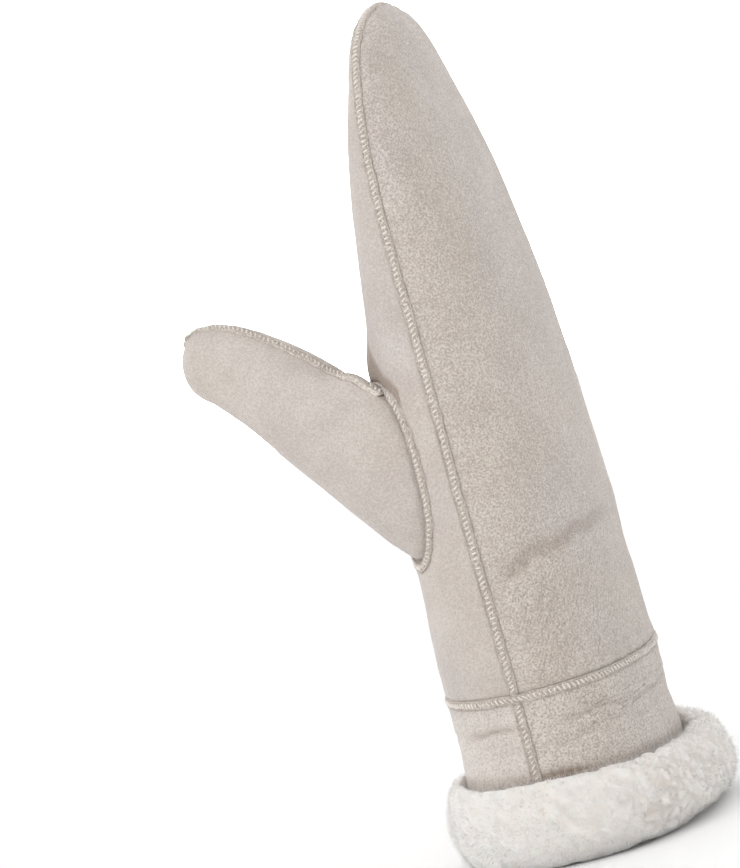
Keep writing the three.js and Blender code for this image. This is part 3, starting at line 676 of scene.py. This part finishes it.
def node(material, kind, **inputs):
    """Adds a node and fills its inputs, where i0 is the first one without a name of its own.

    A number or colour is set, and a socket is linked.
    """
    made = material.node_tree.nodes.new("ShaderNode" + kind)
    for key, value in inputs.items():
        socket = made.inputs[int(key[1:])] if key[0] == "i" and key[1:].isdigit() else made.inputs[key]
        if isinstance(value, bpy.types.NodeSocket):
            material.node_tree.links.new(value, socket)
        else:
            socket.default_value = value
    return made


def coordinates(material):
    """The piece's own coordinates, which don't slide when it moves."""
    return node(material, "TexCoord").outputs["Object"]


def speckle(material, where, per_metre, detail=2.0):
    """Noise with a number of features to a metre."""
    made = node(material, "TexNoise", Vector=where, Scale=per_metre, Detail=detail)
    return made.outputs["Fac"]


def remap(material, value, low, high, to_low, to_high):
    """Carries one range of a value over to another, and stops at its ends."""
    made = node(material, "MapRange", Value=value)
    for key, number in (("From Min", low), ("From Max", high), ("To Min", to_low), ("To Max", to_high)):
        made.inputs[key].default_value = number
    return made.outputs["Result"]


def blend(material, share, first, second):
    """Mixes two colours, each a colour or a socket."""
    made = material.node_tree.nodes.new("ShaderNodeMix")
    made.data_type = "RGBA"
    for socket, value in ((made.inputs[0], share), (made.inputs[6], first), (made.inputs[7], second)):
        if isinstance(value, bpy.types.NodeSocket):
            material.node_tree.links.new(value, socket)
        else:
            socket.default_value = value
    return made.outputs[2]


def kept(material, name):
    """A number that was kept on the vertices."""
    made = node(material, "Attribute")
    made.attribute_name = name
    return made.outputs["Fac"]


def add(material, first, second, times=1.0):
    """The first, and the second so many times."""
    made = node(material, "Math", i0=second, i1=times, i2=first)
    made.operation = "MULTIPLY_ADD"
    return made.outputs[0]


def finish_material(material, colour, height, distance):
    """Links a colour and a bump to the shader."""
    shader = material.node_tree.nodes["Principled BSDF"]
    material.node_tree.links.new(colour, shader.inputs["Base Color"])
    bump = node(material, "Bump", Height=height, Strength=1.0, Distance=distance)
    material.node_tree.links.new(bump.outputs["Normal"], shader.inputs["Normal"])


def math_node(material, way, first, second):
    """One sum, product or other calculation."""
    made = node(material, "Math", i0=first, i1=second)
    made.operation = way
    return made.outputs[0]


def flat_noise(material, turn, across, along, detail=2.0):
    """Noise on the unrolled hide, drawn out along a direction: sizes in millimetres, turn in degrees."""
    flat = node(material, "CombineXYZ", X=kept(material, "flat_u"), Y=kept(material, "flat_v"))
    turned = node(material, "Mapping", Vector=flat.outputs[0])
    turned.vector_type = "TEXTURE"
    turned.inputs["Rotation"].default_value = (0, 0, math.radians(turn))
    turned.inputs["Scale"].default_value = (along, across, 1)
    return speckle(material, turned.outputs[0], 1.0, detail)


# %% [markdown]
# Suede has a nap: short fibres that lie this way and that, so its colour is made of tiny flecks, with
# slow cloudy patches where it was brushed. The flecks are fine noise, the patches coarse noise. The
# shape's own notes paint shade into the bottom of a wrinkle and onto the hide beside a seam, and fine
# lines of painted shade stand for wrinkles too fine to model. The thread's holes are a groove of
# painted shade beside the seam, darkest once in every stitch. Each layer of the colour is a function of
# its own, laid over the one before, and the inside of the hide is wool.


# %% Mix the suede
SUEDE_WARM = (0.575, 0.515, 0.452, 1)
SUEDE_COOL = (0.56, 0.51, 0.488, 1)
SUEDE_LIGHT = (0.76, 0.71, 0.665, 1)
SUEDE_DARK = (0.40, 0.345, 0.305, 1)
SUEDE_SHADE = (0.215, 0.145, 0.095, 1)
WOOL = (0.83, 0.805, 0.775, 1)
WOOL_SHADE_AND_STRANDS = (0.68, 0.61, 0.54, 1)
NAP_DEPTH = 0.45 * MM


def nap_over(suede, tone, nap, clumps, strength):
    """Dark flecks in clumps, and dark and light ones fibre by fibre."""
    tone = blend(suede, remap(suede, clumps, 0.4, 0.65, 0.0, 0.13 * strength), tone, SUEDE_DARK)
    tone = blend(suede, remap(suede, nap, 0.5, 0.62, 0.0, 0.74 * strength), tone, SUEDE_DARK)
    return blend(suede, remap(suede, nap, 0.48, 0.36, 0.0, 0.54 * strength), tone, SUEDE_LIGHT)


def wrinkles_over(suede, tone, wrinkles, creased, wrinkle_line_shade):
    """Painted shade at the bottom of the modelled wrinkles, and painted shade in fine drawn-out lines
    between them.
    """
    # Painted shade at the bottom of the wrinkles, and in fine lines of noise where the hide is creased.
    tone = blend(suede, remap(suede, kept(suede, "pressed"), 0.1, 0.8, 0, 0.27), tone, SUEDE_SHADE)
    lines = math_node(suede, "MULTIPLY", remap(suede, wrinkles, 0.42, 0.33, 0, wrinkle_line_shade), creased)
    return blend(suede, lines, tone, SUEDE_SHADE)


def seam_shade_over(suede, tone):
    """Painted shade beside a seam, faint, and in it a groove of painted shade at the thread's holes."""
    gap = kept(suede, "seam_gap")
    # Faint painted shade beside the seam.
    tone = blend(suede, remap(suede, gap, 3.4, 1.5, 0, 0.12), tone, SUEDE_SHADE)
    # Painted shade in the thread's holes, darkest once in every stitch.
    turns = math_node(suede, "MULTIPLY", kept(suede, "seam_run"), math.tau / (STITCH_STEP / MM))
    beads = remap(suede, math_node(suede, "SINE", turns, 0.0), -0.7, 0.9, 0.3, 1.0)
    groove = math_node(suede, "MULTIPLY", remap(suede, gap, 1.95, 1.5, 0, 0.95), beads)
    groove = math_node(suede, "MULTIPLY", groove, kept(suede, "holes"))
    return blend(suede, groove, tone, SUEDE_SHADE)


def make_suede(name, wrinkle_turn, wrinkle_line_shade, strength, pale=0.0):
    """Napped suede: its fine wrinkles' angle and the strength of their painted shade, its nap's strength,
    its paleness.
    """
    suede = new_material(name, 0.95, 0.2)
    at = coordinates(suede)
    nap = speckle(suede, at, 1500, 2.0)
    clumps = speckle(suede, at, 420, 2.0)
    patches = speckle(suede, at, 60, 3.0)
    wrinkles = flat_noise(suede, wrinkle_turn, 1.0, 4.6, 1.5)
    creased = kept(suede, "creased")
    tone = blend(suede, kept(suede, "warm"), SUEDE_COOL, SUEDE_WARM)
    tone = blend(suede, remap(suede, patches, 0.35, 0.65, 0.12, 0.0), tone, SUEDE_LIGHT)
    tone = blend(suede, pale, tone, SUEDE_LIGHT)
    tone = blend(suede, remap(suede, patches, 0.35, 0.65, 0.0, 0.22), tone, SUEDE_DARK)
    tone = nap_over(suede, tone, nap, clumps, strength)
    tone = wrinkles_over(suede, tone, wrinkles, creased, wrinkle_line_shade)
    tone = seam_shade_over(suede, tone)
    # Painted shade and dust beside the wool, and painted shade in the palm's fold.
    tone = blend(suede, kept(suede, "painted_shade_and_dust"), tone, SUEDE_SHADE)
    tone = blend(suede, remap(suede, kept(suede, "outer"), 0.5, 0.05, 0, 1), tone, WOOL)
    relief = add(suede, clumps, nap, 0.8)
    relief = add(suede, relief, math_node(suede, "MULTIPLY", wrinkles, creased), 1.5)
    finish_material(suede, tone, relief, NAP_DEPTH * strength)
    return suede


back_suede = make_suede("napped suede of the back", wrinkle_turn=56, wrinkle_line_shade=0.25, strength=0.97)
palm_suede = make_suede("napped suede of the palm", wrinkle_turn=62, wrinkle_line_shade=0.2, strength=0.5)
band_suede = make_suede(
    "napped suede of the back's band", wrinkle_turn=6, wrinkle_line_shade=0.5, strength=1.05, pale=0.33
)
pale_suede = make_suede(
    "napped suede of the palm's band", wrinkle_turn=6, wrinkle_line_shade=0.3, strength=0.7, pale=0.56
)
print("suedes:", [material.name for material in (back_suede, palm_suede, band_suede, pale_suede)])

# %% [markdown]
# The back is the darkest and most wrinkled, the palm and the thumb are smoother, and the palm's half of
# the band is the palest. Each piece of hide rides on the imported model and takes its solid's place.

# %% Dress the hide
SKINS = {
    back: back_suede,
    palm: palm_suede,
    thumb: palm_suede,
    back_band: band_suede,
    palm_band: pale_suede,
}
for piece, suede in SKINS.items():
    piece.data.materials.append(suede)
    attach(piece, "root")
    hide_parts(piece.name.removesuffix("_suede"))
print("suede on", len(SKINS), "pieces")

# %% [markdown]
# A seam in shearling is two raw edges held side by side and whipped over with thread. Their ridge is a
# copy of the solid, roughened, swollen into the gap beside it, and pressed down on top by the thread.
# Its distance from the seam's middle is kept on it, because its top lies in the shade between the
# stitches, while its sides show the pale cut of the skin.


# %% Raise the raw edges
FAR_SIDE_FILL = 0.45 * MM  # more for the thumb's root, whose gap is wider towards the palm's middle


def raw_edge(name):
    """The two raw edges of a seam, as one ridge."""
    piece = working_copy(name, name + "_edges")
    crease_cut_edges(piece, 60, 0.4)
    smooth(piece, 3 if name != "side_seam" else 2)
    points, normals = places(piece)
    if name == "thumb_seam":
        points = lifted(drawn_out(points))
    rough = 0.2 * field(points, 0.0016, 6) + 0.18 * field(points, 0.005, 7)
    out = np.array([ridge_normal(name, p) for p in points])
    facing_out = fade((normals * out).sum(axis=1), 0.3, 0.9)
    fill = np.full(len(points), FILL)
    if name == "thumb_root_seam":
        fill += FAR_SIDE_FILL * fade(points[:, 1], -40 * MM, -28 * MM)
    plump = (fill + rough * MM)[:, None] * normals - out * (facing_out * (PRESSED + fill))[:, None]
    note(piece, "off_centre", np.array([off_centre(name, p) for p in points]))
    place(piece, gather(points + wobble(points) + plump))
    return piece


def off_centre(name, point):
    """How many millimetres a point lies to one side of the middle of its seam."""
    _, index, _ = line_trees[name].find(point)
    middle, _, across, _ = lines[name][index]
    return abs(across.dot(Vector(point) - middle)) / MM


def ridge_normal(name, point):
    """Which way is out of the hand at the nearest place on a seam."""
    _, index, _ = line_trees[name].find(point)
    return lines[name][index][3]


line_trees = {}
for name in SEAMS:
    line_trees[name] = KDTree(len(lines[name]))
    for index, (point, _, _, _) in enumerate(lines[name]):
        line_trees[name].insert(point, index)
    line_trees[name].balance()
edges = [raw_edge(name) for name in SEAMS]
for piece in edges:
    print(piece.name, len(piece.data.polygons), "faces")

# %% [markdown]
# Two tones of raw edge, each flecked with fine noise as fibres are: a shaded one for the top of the
# ridge between the stitches, and a pale one for its sides. Coarser noise dulls the top in places.

# %% Colour the raw edges
EDGE_DARK = (0.36, 0.305, 0.26, 1)
EDGE_LIGHT = (0.66, 0.605, 0.55, 1)
EDGE_DULL = (0.44, 0.38, 0.33, 1)
CUT_DARK = (0.56, 0.49, 0.43, 1)
CUT_LIGHT = (0.82, 0.75, 0.69, 1)
TOP_ENDS = (0.95, 1.15)  # mm from the middle of the seam, from all top to all side
edge = new_material("raw hide edge", 0.95, 0.3)
at = coordinates(edge)
fine = speckle(edge, at, 1500, 3.0)
patch = speckle(edge, at, 240, 2.0)
top = blend(edge, remap(edge, fine, 0.35, 0.65, 0, 1), EDGE_DARK, EDGE_LIGHT)
top = blend(edge, remap(edge, patch, 0.4, 0.6, 0, 0.25), top, EDGE_DULL)
sides = blend(edge, remap(edge, fine, 0.38, 0.62, 0, 1), CUT_DARK, CUT_LIGHT)
tone = blend(edge, remap(edge, kept(edge, "off_centre"), *TOP_ENDS, 0, 1), top, sides)
finish_material(edge, tone, fine, 0.4 * MM)
for piece in edges:
    piece.data.materials.append(edge)
    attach(piece, "root")
    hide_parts(piece.name.removesuffix("_edges"))
print("raw edges on", len(edges), "seams")

# %% [markdown]
# The thread goes over the ridge, through the hide, and over again one step further on. One stitch is
# modelled: a short rod of thread, cut across where it will bend, then bent over the ridge and slanted
# along the seam.

# %% Model one stitch
DROP = 1.25 * MM  # how far the ends of a stitch go down
SLANT = 0.3 * STITCH_STEP  # how far each end lies along the seam
bpy.ops.object.select_all(action="DESELECT")
bpy.ops.mesh.primitive_cylinder_add(
    vertices=6, radius=THREAD, depth=2 * OVER, rotation=(0, math.pi / 2, 0)
)
stitch = bpy.context.object
stitch.name = "stitch"
bpy.ops.object.transform_apply(location=True, rotation=True, scale=True)
bpy.ops.object.mode_set(mode="EDIT")
for share in (-0.75, -0.5, -0.2, 0.2, 0.5, 0.75):
    bpy.ops.mesh.select_all(action="SELECT")
    bpy.ops.mesh.bisect(plane_co=(share * OVER, 0, 0), plane_no=(1, 0, 0))
bpy.ops.object.mode_set(mode="OBJECT")
stitch_points, _ = places(stitch)
reach = stitch_points[:, 0] / OVER
stitch_points[:, 2] += 0.3 * MM * reach**2 - DROP * np.abs(reach) ** 3.2
stitch_points[:, 1] += SLANT * reach
stitch_faces = [list(face.vertices) for face in stitch.data.polygons]
bpy.data.objects.remove(stitch)
print("one stitch:", len(stitch_points), "vertices,", len(stitch_faces), "faces")

# %% [markdown]
# The stitch is set down at every step of every seam, with a little wander in its size and slant, as
# hand-guided sewing has. Its vertices are set straight into one mesh for each seam, because hundreds
# of single objects would be slow. Under the wool the seams aren't sewn.


# %% Sew the seams
def from_parts(name, points, faces):
    """A piece from many small shapes, whose points and faces are already put together."""
    mesh = bpy.data.meshes.new(name)
    mesh.from_pydata(points.tolist(), [], faces)
    mesh.update()
    piece = bpy.data.objects.new(name, mesh)
    scene.collection.objects.link(piece)
    only(piece)
    bpy.ops.object.shade_smooth()
    return piece


STITCH_SIZES = (0.82, 1.1)
LEAN_SPREAD = 0.22
SUNK_SPREAD = 0.22 * MM


def sew(name, line):
    """Sets the stitch down at each step of a line."""
    points, faces = [], []
    for point, along, across, normal in line:
        size = rng.uniform(*STITCH_SIZES)
        turned = (across + along * rng.normal(0, LEAN_SPREAD)).normalized()
        basis = np.array([turned, along, normal]) * size
        start = sum(len(part) for part in points)
        sunk = PRESSED + rng.uniform(0, SUNK_SPREAD)
        centre = np.array(point - normal * sunk) + wobble(np.array([point]))[0]
        points.append(gather(stitch_points @ basis + centre))
        faces += [[i + start for i in face] for face in stitch_faces]
    return from_parts(name, np.concatenate(points), faces)


stitched = []
for name in SEAMS:
    line = resample(paths[name], name in CLOSED, STITCH_STEP)
    line = [entry for entry in line if entry[0].z > WOOL_TOP - 4 * MM]
    stitched.append(sew(name + "_stitches", line))
    print(stitched[-1].name, len(line), "stitches")

# %% [markdown]
# The thread is cream, with fine light and dark strands, and duller where it is worn.

# %% Colour the thread
THREAD_SHADE = (0.72, 0.66, 0.61, 1)
THREAD_LIGHT = (0.93, 0.885, 0.85, 1)
THREAD_WORN = (0.64, 0.58, 0.52, 1)
thread = new_material("cream sewing thread", 0.8, 0.3)
at = coordinates(thread)
strand = speckle(thread, at, 3200, 2.0)
wear = speckle(thread, at, 300, 2.0)
tone = blend(thread, remap(thread, strand, 0.35, 0.65, 0, 1), THREAD_SHADE, THREAD_LIGHT)
tone = blend(thread, remap(thread, wear, 0.4, 0.7, 0, 0.35), tone, THREAD_WORN)
finish_material(thread, tone, strand, 0.2 * MM)
for piece in stitched:
    piece.data.materials.append(thread)
    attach(piece, "root")
print("thread on", len(stitched), "seams")

# %% [markdown]
# Clipped sheep's wool lies in soft swells. At the thumb edge it was brushed smooth, and towards the
# outer edge it still stands in small round curls, with warm shaded gaps between them. A dome over each
# cell of a cellular noise gives the curls. How far out a point lies says whether it is on show.


# %% Measure the wool
def domes(points, size, seed):
    """A soft dome over each cell of a cellular pattern: 1 in its middle and 0 at its edge."""
    shift = Vector((seed * 3.7, seed * 1.9, seed * 2.3))
    heights = np.empty(len(points))
    for i, p in enumerate(points):
        near, _ = noise.voronoi(Vector(p) / size + shift)
        heights[i] = near[1] - near[0]
    return fade(heights, -0.25, 0.75)


def round_the_cuff(points):
    """How far out a point is from the middle of the cuff: 1 on the band's surface."""
    return np.hypot((points[:, 0] - AXIS_X) / HALF_DEPTH, points[:, 1] / (0.94 * HALF_WIDTH))


def curly_share(points):
    """How much the curls stand out: most on the back of the hand, towards its outer edge."""
    degrees, _ = unroll(points)
    share = fade(degrees, 18, 62) * (1 - fade(degrees, 150, 178))
    return np.clip(share + 0.3 * field(points, 0.02, 15), 0.1, 1)


def face_on_show(face):
    """True on the outside of the roll, and false under it and in the mouth of the cuff."""
    return bool(round_the_cuff(np.array([face.center]))[0] > 1.03 and face.normal.z > -0.8)


# %% [markdown]
# The body of the fleece is a copy of the solid. Its packed locks are relaxed first, so that they are
# only a hint under the curls. Then slow noise gives it the swells, and the domes give it the curls. It
# stays flat where it stands, and moves little where it is pressed on the band.


# %% Grow the body of the fleece
SWIRL = 1.5 * MM  # how far the pattern of the curls is pulled about
CURL_SIZE = 4.5 * MM


def refine(piece, keep):
    """Splits some faces of a piece once more, so that the curls there have enough vertices."""
    only(piece)
    bpy.ops.object.mode_set(mode="EDIT")
    bpy.ops.mesh.select_mode(type="FACE")
    bpy.ops.mesh.select_all(action="DESELECT")
    bpy.ops.object.mode_set(mode="OBJECT")
    for face in piece.data.polygons:
        face.select = keep(face)
    bpy.ops.object.mode_set(mode="EDIT")
    bpy.ops.mesh.subdivide(number_cuts=1, smoothness=0)
    bpy.ops.mesh.select_mode(type="VERT")
    bpy.ops.object.mode_set(mode="OBJECT")


def relax(piece, rounds):
    """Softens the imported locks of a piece, for good."""
    only(piece)
    modifier = piece.modifiers.new("relax", "SMOOTH")
    modifier.factor = 0.5
    modifier.iterations = rounds
    bpy.ops.object.modifier_apply(modifier="relax")


fleece = working_copy("wool_cuff", "wool_cuff_fleece")
refine(fleece, face_on_show)
relax(fleece, 6)
smooth(fleece, 2)
points, normals = places(fleece)
swirl = fields(points, 0.006, (21, 22, 23)) * SWIRL
curl = domes(points + swirl, CURL_SIZE, 2)
curly = curly_share(points)
free = fade(round_the_cuff(points), 0.99, 1.08)
foot = fade(points[:, 2], 0.3 * MM, 5 * MM)
# In millimetres: wide swells and lumps, then the curls, and tufts on them.
push = 0.95 * field(points, 0.017, 9) + 0.5 * field(points + swirl, 0.0075, 10)
push += (0.12 + 0.85 * curly) * (curl - 0.5) + 0.22 * field(points, 0.0026, 8)
push *= 0.25 + 0.75 * free
shift = normals * (push * MM)[:, None]
shift[:, 2] *= foot
place(fleece, points + shift)
# Painted shade for the gaps between the curls and where the fleece is pushed in.
note(fleece, "painted_gap_shade", (0.25 + 0.75 * curly) * (1 - curl) + 0.5 * fade(-push, 0.1, 0.9))
print(fleece.name, len(fleece.data.polygons), "faces")

# %% [markdown]
# Hair could be grown on the fleece as particles, but strands have no mesh of their own. So each fibre
# is a small closed spike, and its place is drawn by chance, more often where the wool is on show. A
# big face is drawn more often than a small one, which spreads the fibres evenly.


# %% Choose where the fibres stand
def scatter(piece, count, allowed):
    """Random places on a piece, spread by area, with their normals."""
    mesh = piece.data
    areas = np.empty(len(mesh.polygons))
    mesh.polygons.foreach_get("area", areas)
    centres = np.empty(len(mesh.polygons) * 3)
    mesh.polygons.foreach_get("center", centres)
    normals = np.empty(len(mesh.polygons) * 3)
    mesh.polygons.foreach_get("normal", normals)
    centres, normals = centres.reshape(-1, 3), normals.reshape(-1, 3)
    weight = areas * allowed(centres, normals)
    chosen = rng.choice(len(areas), count, p=weight / weight.sum())
    jitter = rng.normal(0, 0.3 * MM, (count, 3))
    return centres[chosen] + jitter, normals[chosen]


def on_show(centres, normals):
    """Most fibres stand on the outside of the roll, and fewer in the mouth of the cuff."""
    outside = fade(round_the_cuff(centres), 1.0, 1.06)
    mouth = 0.25 * (normals[:, 2] < -0.2)
    return np.maximum(outside, mouth) * (centres[:, 2] > 1.0 * MM)


print("fibres are spread over", len(fleece.data.polygons), "faces")

# %% [markdown]
# One fibre is a bent spike of three sides, a millimetre or two long. Every one leans the way that the
# wool around it leans, so they gather into small locks, and together they give the soft outline that
# wool has. Short stout ones make the locks, and long thin ones the fuzz.


# %% Grow the fibres
SIDES = 3
RING_WIDTHS = (1.0, 0.75)  # at the root and halfway up, as shares of a fibre's width


def unit(vectors):
    """Each vector at length 1."""
    return vectors / np.maximum(np.linalg.norm(vectors, axis=1, keepdims=True), 1e-9)


def fibres(name, count, width, length, lean, wave):
    """Many bent spikes, each of two rings of points and a tip. The lean is in radians."""
    roots, normals = scatter(fleece, count, on_show)
    sway = fields(roots, wave, (31, 32, 33))
    lie = unit(sway + rng.normal(0, 0.22, (count, 3)))
    lie = unit(lie - (lie * normals).sum(axis=1, keepdims=True) * normals)
    side = np.cross(normals, lie)
    lengths = (rng.uniform(0.6, 1.3, count) * length)[:, None]
    widths = (rng.uniform(0.7, 1.3, count) * width)[:, None]
    tilt = (rng.uniform(0.4, 1.0, count) * lean)[:, None]
    half = roots + (normals * np.cos(tilt * 0.5) + lie * np.sin(tilt * 0.5)) * lengths * 0.5
    curl = side * rng.normal(0, 0.5, (count, 1))
    tip = half + unit(normals * np.cos(tilt * 1.6) + lie * np.sin(tilt * 1.6) + curl) * lengths * 0.5
    start = roots - normals * 0.3 * MM
    layers = []
    for wide, middle in zip(RING_WIDTHS, (start, half)):
        for k in range(SIDES):
            turn = math.tau * k / SIDES
            layers.append(middle + (lie * math.cos(turn) + side * math.sin(turn)) * widths * wide)
    points = np.stack(layers + [tip], axis=1)
    points[:, :, 2] = np.maximum(points[:, :, 2], 0.15 * MM)
    following = [(k + 1) % SIDES for k in range(SIDES)]
    spike = [tuple(reversed(range(SIDES)))]
    spike += [(k, n, SIDES + n) for k, n in enumerate(following)]
    spike += [(k, SIDES + n, SIDES + k) for k, n in enumerate(following)]
    spike += [(SIDES + k, SIDES + n, 2 * SIDES) for k, n in enumerate(following)]
    faces = np.array(spike)[None, :, :] + (np.arange(count) * points.shape[1])[:, None, None]
    return from_parts(name, points.reshape(-1, 3), faces.reshape(-1, 3).tolist())


locks = fibres("wool_locks", count=5000, width=0.07 * MM, length=1.3 * MM, lean=1.4, wave=4.5 * MM)
fuzz = fibres("wool_fuzz", count=17000, width=0.04 * MM, length=2.2 * MM, lean=0.9, wave=3 * MM)
for piece in (locks, fuzz):
    print(piece.name, len(piece.data.polygons), "triangles")

# %% [markdown]
# Wool is off-white and lets light into itself, so its shaded gaps are warm, never black. The depth
# that was kept on the fleece paints a little warm shade into the gaps, and some of the light goes
# through the fibres. Fine noise stands for the fibres that are too thin to model.

# %% Mix the wool
wool = new_material("clipped wool", 1.0, 0.3)
shader = wool.node_tree.nodes["Principled BSDF"]
shader.inputs["Subsurface Weight"].default_value = 0.6
shader.inputs["Subsurface Radius"].default_value = (0.004, 0.0032, 0.0026)
shader.inputs["Subsurface Scale"].default_value = 1.0
at = coordinates(wool)
strands = speckle(wool, at, 1100, 3.0)
lumps = speckle(wool, at, 160, 3.0)
# Painted shade in the gaps, then the darker strands and lumps of the wool itself.
tone = blend(wool, remap(wool, kept(wool, "painted_gap_shade"), 0.45, 1.0, 0, 0.4), WOOL, WOOL_SHADE_AND_STRANDS)
tone = blend(wool, remap(wool, strands, 0.36, 0.64, 0.12, 0.0), tone, WOOL_SHADE_AND_STRANDS)
tone = blend(wool, remap(wool, lumps, 0.45, 0.7, 0, 0.12), tone, WOOL_SHADE_AND_STRANDS)
relief = add(wool, lumps, strands, 0.5)
finish_material(wool, tone, relief, 0.4 * MM)
for piece in (fleece, locks, fuzz):
    piece.data.materials.append(wool)
    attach(piece, "root")
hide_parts("wool_cuff")
print("wool on", fleece.name, locks.name, fuzz.name)

# %% [markdown]
# The floor is a wide pale dish: flat where the mitten stands, and curving up far away, so no horizon
# shows behind it. It is spun from one profile. All its lengths are in metres.

# %% Lay the floor
FLAT_REACH = 4
WALL_BEND = 2
WALL_HEIGHT = 8
BEND_STEPS = 8
bpy.ops.object.select_all(action="DESELECT")
bpy.ops.mesh.primitive_plane_add(size=1, location=(0, 0, 0))
floor = bpy.context.object
floor.name = "floor"
bpy.ops.object.mode_set(mode="EDIT")
bpy.ops.mesh.select_all(action="SELECT")
bpy.ops.mesh.delete(type="VERT")
bpy.ops.object.mode_set(mode="OBJECT")
profile = [(0, 0), (FLAT_REACH - 1, 0), (FLAT_REACH, 0)]
for step in range(1, BEND_STEPS + 1):
    turn = math.radians(90 * step / BEND_STEPS)
    profile.append((FLAT_REACH + WALL_BEND * math.sin(turn), WALL_BEND - WALL_BEND * math.cos(turn)))
profile.append((FLAT_REACH + WALL_BEND, WALL_HEIGHT))
profile_edges = [(i, i + 1) for i in range(len(profile) - 1)]
floor.data.from_pydata([(x, 0, z) for x, z in profile], profile_edges, [])
only(floor)
bpy.ops.object.mode_set(mode="EDIT")
bpy.ops.mesh.select_all(action="SELECT")
bpy.ops.mesh.spin(steps=64, angle=math.tau, center=(0, 0, 0), axis=(0, 0, 1))
bpy.ops.mesh.select_all(action="SELECT")
bpy.ops.mesh.remove_doubles(threshold=1e-4)
bpy.ops.mesh.normals_make_consistent(inside=True)
bpy.ops.object.mode_set(mode="OBJECT")
bpy.ops.object.shade_smooth()
paper = bpy.data.materials.new("white backdrop")
paper.use_nodes = True
shader = paper.node_tree.nodes["Principled BSDF"]
shader.inputs["Base Color"].default_value = (0.96, 0.96, 0.96, 1)
shader.inputs["Roughness"].default_value = 1.0
shader.inputs["Specular IOR Level"].default_value = 0.0
floor.data.materials.append(paper)
print("floor", len(floor.data.polygons), "faces")

# %% [markdown]
# The photo looks almost level at the thumb's edge of the mitten, and leans. The camera looks at a
# place on the middle line of the hand, and is then turned until that place falls on the pixel where
# the photo has it. That needs no shift of the lens.


# %% Aim the camera
def direction(azimuth, elevation):
    """From the middle of the mitten, at an angle round it from its thumb edge and an angle up."""
    around, lift = math.radians(azimuth), math.radians(elevation)
    return Vector((math.sin(around) * math.cos(lift), -math.cos(around) * math.cos(lift), math.sin(lift)))


AZIMUTH, ELEVATION, ROLL = 18.0, 4.2, 14.7
DISTANCE = 1.24
PIXELS_PER_RADIAN = 3594
TALL, WIDE = 868, 740
SEEN_AT = (486.6, 417.7)  # the pixel of the photo where the target lies
SENSOR = 36  # mm
target = Vector((AXIS_X, 0, HEM_Z + 90 * MM))
toward = direction(AZIMUTH, ELEVATION)
around = math.radians(AZIMUTH)
right = Vector((math.cos(around), math.sin(around), 0))
up = toward.cross(right)
lean = math.radians(ROLL)
rolled_right = right * math.cos(lean) - up * math.sin(lean)
rolled_up = up * math.cos(lean) + right * math.sin(lean)
seen = Vector((SEEN_AT[0] - WIDE / 2, TALL / 2 - SEEN_AT[1], -PIXELS_PER_RADIAN))
level = Matrix((rolled_right, rolled_up, toward)).transposed()
aim = seen.rotation_difference(Vector((0, 0, -1)))
lens = bpy.data.cameras.new("camera")
lens.sensor_fit = "AUTO"
lens.sensor_width = SENSOR
lens.lens = PIXELS_PER_RADIAN * SENSOR / TALL
camera = bpy.data.objects.new("camera", lens)
scene.collection.objects.link(camera)
camera.location = target + toward * DISTANCE
camera.rotation_mode = "QUATERNION"
camera.rotation_quaternion = (level @ aim.to_matrix()).to_quaternion()
scene.camera = camera
print("camera at", tuple(round(v, 3) for v in camera.location))

# %% [markdown]
# The photo was lit by big soft lights, and its ground is pure white. The palm side, at the left of the
# picture, is a little brighter than the back. A wide light from the picture's left, weaker ones from
# its right and from above and a bright surround give that. One strong light behind the mitten shines
# at the wall, and makes it white.


# %% Set the lights
def soft_light(name, side, rise, distance, size, watts):
    """A square light at an angle from the camera's own direction, in degrees."""
    data = bpy.data.lights.new(name, "AREA")
    data.size = size
    data.energy = watts
    light = bpy.data.objects.new(name, data)
    scene.collection.objects.link(light)
    way = direction(AZIMUTH + side, rise)
    light.location = target + way * distance
    light.rotation_mode = "QUATERNION"
    light.rotation_quaternion = way.to_track_quat("Z", "Y")
    return light


soft_light("left light", side=-50, rise=30, distance=1.8, size=1.1, watts=8.5)
soft_light("right light", side=50, rise=25, distance=2.0, size=1.4, watts=3.7)
soft_light("top light", side=-10, rise=70, distance=2.0, size=1.2, watts=5.2)
wall_light = soft_light("backdrop light", side=180, rise=25, distance=2.6, size=2.0, watts=340)
wall_light.rotation_quaternion = toward.to_track_quat("Z", "Y")
world = bpy.data.worlds.new("surround")
world.use_nodes = True
world.node_tree.nodes["Background"].inputs["Color"].default_value = (1, 1, 1, 1)
world.node_tree.nodes["Background"].inputs["Strength"].default_value = 0.6
scene.world = world
scene.view_settings.view_transform = "Standard"
